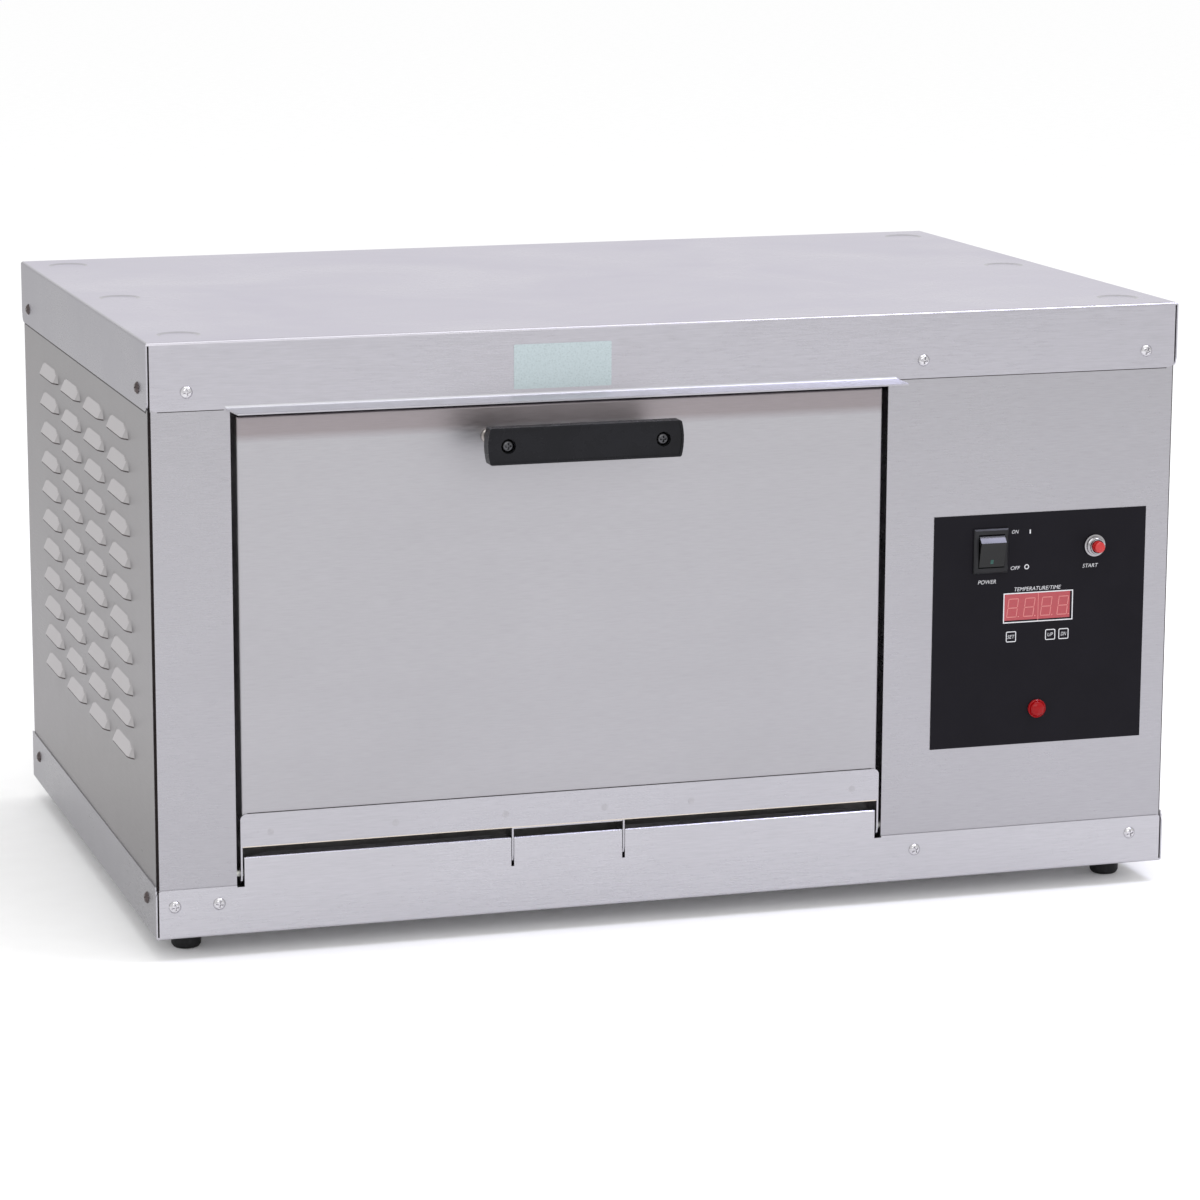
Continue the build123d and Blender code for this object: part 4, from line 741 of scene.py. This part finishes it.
# Bare label plate on the lid's flange
def label_mesh():
    plate_left, plate_right, plate_low, plate_high = 244.0, 310.8, 354.1, 383.5
    thickness, corner = 0.25, 0.8
    x, z = from_corner((plate_left + plate_right) / 2, (plate_low + plate_high) / 2)
    loop = round_loop((plate_right - plate_left) / 2, (plate_high - plate_low) / 2, corner)
    bm = bmesh.new()
    front, back = [[bm.verts.new(mm(x + a, y, z + b)) for a, b in loop]
                   for y in (body_front - thickness, body_front)]
    bm.faces.new(front)
    bm.faces.new(back)
    for i in range(len(loop)):
        j = (i + 1) % len(loop)
        bm.faces.new((front[i], front[j], back[j], back[i]))
    return to_mesh("bare_label", bm)


piece("bare_label", label_mesh(), pale_plate, "oven", smooth=False)


# Louvred side panels. A louvre is measured along the panel and up from the lower edge of its lip
reach, lip_height, half_length, end_radius, soft, soft_end = 3.78, 8.5, 33.0, 16.0, 0.35, 1.2
columns, rows = 4, 11
first_y, pitch_y, first_z, pitch_z = body_front + 102.0, 86.0, base_z + 107.0, 21.5
flat_from, panel_flange = 11.0, 11.0
panel_low, panel_high = box_mm("left_side_panel")
panel_face = body_right - sheet


def lip_reach(y):
    """How far the lip stands out at a distance along the louvre from its middle."""
    run = math.sqrt(end_radius ** 2 - (end_radius - reach) ** 2)
    beyond = abs(y) - (half_length - run)
    if beyond <= 0:
        return reach
    if beyond >= run:
        return run - beyond
    return reach - (end_radius - math.sqrt(end_radius ** 2 - beyond ** 2))


def louvre_height(y, z):
    """The pressed sheet's height at a place from the louvre's lip, blended softly into the flat."""
    depth = lip_reach(y) - reach * z / lip_height
    if z >= flat_from or depth < -soft_end:
        return 0.0
    return (depth + math.sqrt(depth * depth + soft * soft)) / 2


def on_hood(y, z):
    """Whether a place lies on the raised hood, inside its oval outline."""
    hood_height, hood_straight, hood_end, least_rise = 8.8, 14, 17, 0.2
    oval = (z / hood_height) ** 2 + (max(0.0, abs(y) - hood_straight) / hood_end) ** 2
    return louvre_height(y, z) > least_rise and oval < 1


def louvred_panel(name, node, sign):
    half_ys = [20, 23, 25.5, 27.5, 29.5, 31, 32.4, 33.4, 34.5, 36.5, pitch_y / 2]
    ys = [-y for y in half_ys[::-1]] + [0] + half_ys
    zs = [0.0, 1.1, 2.3, 3.5, 4.7, 5.8, 6.8, 7.6, 8.2, 8.8, 9.6, flat_from, 16.0, pitch_z]
    # The front end of each hood keeps the panel's own tone, without the painted highlight
    hood_start = -29
    bm = bmesh.new()

    def at(y, z, height=0.0):
        return bm.verts.new(mm(sign * (panel_face + height), y, z))

    def flat(y0, y1, z0, z1):
        bm.faces.new((at(y0, z0), at(y1, z0), at(y1, z1), at(y0, z1)))

    for column in range(columns):
        cy = first_y + column * pitch_y
        for row in range(rows):
            cz = first_z + row * pitch_z
            grid = [[at(cy + y, cz + z, louvre_height(y, z)) for y in ys] for z in zs]
            for i in range(len(zs) - 1):
                for j in range(len(ys) - 1):
                    face = bm.faces.new((grid[i][j], grid[i][j + 1], grid[i + 1][j + 1], grid[i + 1][j]))
                    # Faces on a hood take the paler louvre steel: a painted highlight added to the light the
                    # tilted hoods catch.
                    hooded = ys[j] > hood_start and on_hood((ys[j] + ys[j + 1]) / 2, (zs[i] + zs[i + 1]) / 2)
                    face.material_index = 1 if hooded else 0
    louvre_ys = [first_y + c * pitch_y + y for c in range(columns) for y in ys[(1 if c else 0):]]
    louvre_zs = [first_z + r * pitch_z + z for r in range(rows) for z in zs[(1 if r else 0):]]
    y_lines = [panel_low[1]] + louvre_ys + [panel_high[1]]
    z_lines = [panel_low[2]] + louvre_zs + [panel_high[2]]
    for y0, y1 in zip(y_lines, y_lines[1:]):
        flat(y0, y1, z_lines[0], z_lines[1])
        flat(y0, y1, z_lines[-2], z_lines[-1])
    for z0, z1 in zip(louvre_zs, louvre_zs[1:]):
        flat(y_lines[0], y_lines[1], z0, z1)
        flat(y_lines[-2], y_lines[-1], z0, z1)
    for y in (panel_low[1], panel_high[1]):
        for z0, z1 in zip(z_lines, z_lines[1:]):
            bm.faces.new((at(y, z0), at(y, z0, -panel_flange), at(y, z1, -panel_flange), at(y, z1)))
    bmesh.ops.remove_doubles(bm, verts=bm.verts, dist=0.000012)
    mesh = to_mesh(name, bm)
    hoods = [face.material_index for face in mesh.polygons]
    part = piece(name, mesh, side_steel, "oven", node)
    mesh.materials.append(hood_highlight_steel)
    mesh.polygons.foreach_set("material_index", hoods)
    sharpen(part, 60)


def louvre_shadow_edges(name, sign):
    """The sheared lower edge of each louvre as a narrow dark rim below its lip, partly painted shadow."""
    rim_half_length, rim_height, rim_lean, least_height = 33.2, 1.0, 0.3, 0.06
    ys = [rim_half_length * math.sin(math.radians(90 * step / 12)) for step in range(-12, 13)]
    bm = bmesh.new()
    for column in range(columns):
        for row in range(rows):
            cy, cz = first_y + column * pitch_y, first_z + row * pitch_z
            lines = []
            for drop, back in ((0.0, 0.0), (rim_height, rim_lean)):
                heights = [max(least_height, louvre_height(y, 0.0) - back) for y in ys]
                lines.append([bm.verts.new(mm(sign * (panel_face + height), cy + y, cz - drop))
                              for y, height in zip(ys, heights)])
            for i in range(len(ys) - 1):
                bm.faces.new((lines[0][i], lines[0][i + 1], lines[1][i + 1], lines[1][i]))
    piece(name, to_mesh(name, bm), louvre_shadow_rim, "oven")


for word, sign in (("left", -1), ("right", 1)):
    louvred_panel(word + "_louvres", word + "_side_panel", sign)
    louvre_shadow_edges(word + "_louvre_shadow_edges", sign)


# Smooth racks and elements
def tube(name, paths, radius, slot, node, closed=False):
    """Round wires along paths, each a list of places in millimetres."""
    data = bpy.data.curves.new(name, "CURVE")
    data.dimensions = "3D"
    data.bevel_depth = radius / 1000
    data.bevel_resolution = 4
    data.use_fill_caps = True
    for points in paths:
        spline = data.splines.new("POLY")
        spline.points.add(len(points) - 1)
        for place, point in zip(spline.points, points):
            place.co = (*mm(*point), 1)
        spline.use_cyclic_u = closed
    part = bpy.data.objects.new(name, data)
    bpy.context.collection.objects.link(part)
    data.materials.append(materials[slot])
    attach(part, "oven")
    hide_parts(node)


def corner_arc(cx, cy, radius, start, z, steps=8):
    points = []
    for step in range(steps + 1):
        angle = math.radians(start + 90 * step / steps)
        points.append((cx + radius * math.cos(angle), cy + radius * math.sin(angle), z))
    return points


wire_count, wire_radius, rack_frame_radius, rack_inset, rack_bend = 12, 1.45, 2.5, 2.75, 14.0
for node in ("lower_rack", "upper_rack"):
    low, high = box_mm(node)
    z = (low[2] + high[2]) / 2
    x0, x1, y0, y1 = low[0] + rack_inset, high[0] - rack_inset, low[1] + rack_inset, high[1] - rack_inset
    loop = []
    for x, y, start in ((x1 - rack_bend, y1 - rack_bend, 0), (x0 + rack_bend, y1 - rack_bend, 90),
                        (x0 + rack_bend, y0 + rack_bend, 180), (x1 - rack_bend, y0 + rack_bend, 270)):
        loop += corner_arc(x, y, rack_bend, start, z)
    tube(node + "_frame", [loop], rack_frame_radius, "rack_wire", node, closed=True)
    wires = []
    for number in range(wire_count):
        x = x0 + rack_bend + number * (x1 - x0 - 2 * rack_bend) / (wire_count - 1)
        wires.append([(x, y0, z), (x, y1, z)])
    tube(node + "_wires", wires, wire_radius, "rack_wire", node)

element_radius, element_bend, pin_radius, pin_length = 3.75, 34.0, 1.5, 12.0
far_bends, near_bend = 38.0, 116.0
for node in ("lower_element", "upper_element"):
    low, high = box_mm(node)
    z = (low[2] + high[2]) / 2
    end_x = high[0] - pin_length
    run_ys = [(low[1] + high[1]) / 2 + offset * element_bend for offset in (-3, -1, 1, 3)]
    path = [(end_x, run_ys[0], z)]
    for number, y in enumerate(run_ys[:-1]):
        facing = -1 if number % 2 == 0 else 1
        turn_x = low[0] + far_bends if number % 2 == 0 else high[0] - near_bend
        for step in range(15):
            angle = math.pi * step / 14
            path.append((turn_x + facing * element_bend * math.sin(angle),
                         y + element_bend * (1 - math.cos(angle)), z))
    path.append((end_x, run_ys[-1], z))
    tube(node + "_tube", [path], element_radius, "element_tube", node)
    pins = [[(end_x - 1, y, z), (high[0], y, z)] for y in (run_ys[0], run_ys[-1])]
    tube(node + "_pins", pins, pin_radius, "plated_steel", node)


# Spot welds along the hinge strip, each a faint raised ring
weld_profile = [(2.4, 0), (2.0, 0.04), (1.5, 0.015), (0, 0.015)]
weld_shares, weld_drop = (0.045, 0.235, 0.405, 0.56, 0.697, 0.956), 13.0
weld_bm = bmesh.new()
for share in weld_shares:
    x = strip_low[0] + share * (strip_high[0] - strip_low[0])
    add_lathe(weld_bm, weld_profile, basis((x, strip_low[1], strip_high[2] - weld_drop), (0, -1, 0)), 24)
piece("spot_welds", to_mesh("spot_welds", weld_bm), weld_mark, "door")


# Painted shadow in the seams, laid just in front of the sheets or set back in the gaps between flanges
proud, gap_depth, seam_inset, fold = 0.05, 0.75, 7.0, 1.6
sheet_y = body_front + sheet - proud
gap_y = body_front + gap_depth
base_flange_z = base_z + base_flange
seam_low, seam_high = lid_low_z - 0.7, lid_low_z + 0.1
right_gap, right_gap_width = body_right - 2.6, 0.55
seams = [upright(body_left + seam_inset, stile_right - 4, sheet_y, seam_low, seam_high),
         upright(control_left + 6, body_right - seam_inset, sheet_y, seam_low, seam_high),
         upright(right_gap, right_gap + right_gap_width, sheet_y, base_flange_z - 3, lid_low_z + 4)]
for side in (-1, 1):
    ends = (body_front + seam_inset, body_back - seam_inset)[::side]
    seams.append(sideways(side * (panel_face + proud), *ends, seam_low - 1.0, seam_high))
patches("lid_seam_lines", seams, seam_shadow)
gap_left, gap_right = body_left + 1.05, body_left + 2.3
patches("corner_seam_lines", [upright(gap_left, gap_right, gap_y, lid_low_z, top_z - fold),
                              upright(gap_left - 0.1, gap_right + 0.4, sheet_y, base_flange_z, lid_low_z),
                              upright(gap_left, gap_right, gap_y, base_z + fold, base_flange_z)], corner_shadow)
strip_seam = upright(strip_low[0] + 5, strip_high[0] - 5, strip_low[1] + 1.15, strip_high[2] - 0.1,
                     strip_high[2] + 0.4)
patches("strip_seam_line", [strip_seam], seam_shadow, "door")


# Painted highlights on bent edges: the apron's, broken by the slots of the bracket's two ears, and the
# strip's
slot_left, slot_right, edge_inset = 1.3, 1.7, 6
left_slot, right_slot = [(x - slot_left, x + slot_right) for x in (bracket_low[0], bracket_high[0])]
edge_low, edge_high = base_top_z - 0.5, base_top_z + 0.03
edge_front, edge_back = body_front - 0.06, body_front + 0.6
edges = []
for x0, x1 in ((stile_right + edge_inset, left_slot[0]), (left_slot[1], right_slot[0]),
               (right_slot[1], control_left - edge_inset)):
    edges.append([(x0, edge_front, edge_low), (x1, edge_front, edge_low), (x1, edge_back, edge_high),
                  (x0, edge_back, edge_high)])
patches("apron_bright_edge", edges, bent_edge_highlight)
strip_edge = upright(strip_low[0] + 1.5, strip_high[0] - 1.5, strip_low[1] - 0.02, door_low[2],
                     door_low[2] + 0.6)
patches("strip_bright_edge", [strip_edge], warm_edge_highlight, "door")


def lip_roll():
    """The hood's lip, bent out of the flange in a soft curve with its ends cut aslant."""
    lip_out, lip_down, bend, skin, columns_across = 7.0, 3.3, 2.0, 0.06, 40
    left_start, left_slant, right_start, right_slant = stile_right - 3.6, 7.0, control_left + 5.0, 6.6
    slope = math.atan2(lip_out, lip_down)
    corner_z = lid_low_z + 1.0
    start_z = corner_z + bend * math.tan(slope / 2)
    path = []
    for step in range(9):
        angle = slope * step / 8
        path.append((body_front - bend * (1 - math.cos(angle)), start_z - bend * math.sin(angle)))
    path.append((body_front - lip_out, corner_z - lip_down))
    bm = bmesh.new()
    lines = []
    for y, z in path:
        share = (body_front - y) / lip_out
        x0 = left_start + left_slant * share
        x1 = right_start + right_slant * share
        lines.append([bm.verts.new(mm(x0 + (x1 - x0) * i / columns_across, y - skin, z + skin))
                      for i in range(columns_across + 1)])
    for upper, lower in zip(lines, lines[1:]):
        for i in range(columns_across):
            bm.faces.new((upper[i], upper[i + 1], lower[i + 1], lower[i]))
    return to_mesh("hood_lip", bm)


# The lip's paler steel is a painted highlight on its real bend.
piece("hood_lip", lip_roll(), lip_highlight_steel, "oven")


# Lights, in metres and watts
def area(name, place, target, size, power, colour=(1, 1, 1)):
    data = bpy.data.lights.new(name, "AREA")
    data.shape = "RECTANGLE"
    data.size, data.size_y = size
    data.energy = power
    data.color = colour
    light = bpy.data.objects.new(name, data)
    bpy.context.collection.objects.link(light)
    aim = (Vector(target) - Vector(place)).to_track_quat("-Z", "Y")
    light.matrix_world = Matrix.Translation(Vector(place)) @ aim.to_matrix().to_4x4()


area("top_light", (0.2, -0.4, 2.6), (0.1, 0.1, 0.3), (2.4, 2.0), 20)
area("front_light", (-0.3, -3.2, 1.7), (0, 0, 0.2), (2.6, 1.6), 20)
area("narrow_light", (1.07, -0.65, 2.15), (0.25, -0.22, 0.27), (0.55, 0.55), 12, (0.72, 0.72, 1.0))


# White studio all round
world = bpy.data.worlds.new("studio")
bpy.context.scene.world = world
world.use_nodes = True
world_tree = world.node_tree
world_tree.nodes.clear()
background = world_tree.nodes.new("ShaderNodeBackground")
background.inputs["Color"].default_value = (1, 1, 1, 1)
background.inputs["Strength"].default_value = 1.0
world_tree.links.new(background.outputs[0], world_tree.nodes.new("ShaderNodeOutputWorld").inputs[0])


# Floor, which is a little brighter where it is seen, directly or mirrored
look = Nodes("pale_floor")
speckle = look.noise(look.place(), 40.0, 3.0)
tone = look.blend(look.spread(speckle, 0, 1), (0.93, 0.93, 0.93, 1), (0.95, 0.95, 0.95, 1))
diffuse = look.add("BsdfDiffuse", {"Color": tone}).outputs[0]
glow = look.add("Emission", {"Color": (1, 1, 1, 1), "Strength": 0.045}).outputs[0]
rays = look.add("LightPath").outputs
mirrored = look.math("MAXIMUM", rays["Is Glossy Ray"], rays["Is Transmission Ray"])
seen = look.math("MAXIMUM", rays["Is Camera Ray"], mirrored)
brighter = look.add("AddShader", {0: diffuse, 1: glow}).outputs[0]
look.show(look.add("MixShader", {0: seen, 1: diffuse, 2: brighter}))
floor_mesh = bpy.data.meshes.new("floor")
floor_half = 12
floor_corners = [(-floor_half, -floor_half, 0), (floor_half, -floor_half, 0), (floor_half, floor_half, 0),
                 (-floor_half, floor_half, 0)]
floor_mesh.from_pydata(floor_corners, [], [(0, 1, 2, 3)])
floor_mesh.materials.append(look.material)
floor = bpy.data.objects.new("floor", floor_mesh)
bpy.context.collection.objects.link(floor)

bpy.context.scene.view_settings.view_transform = "Standard"
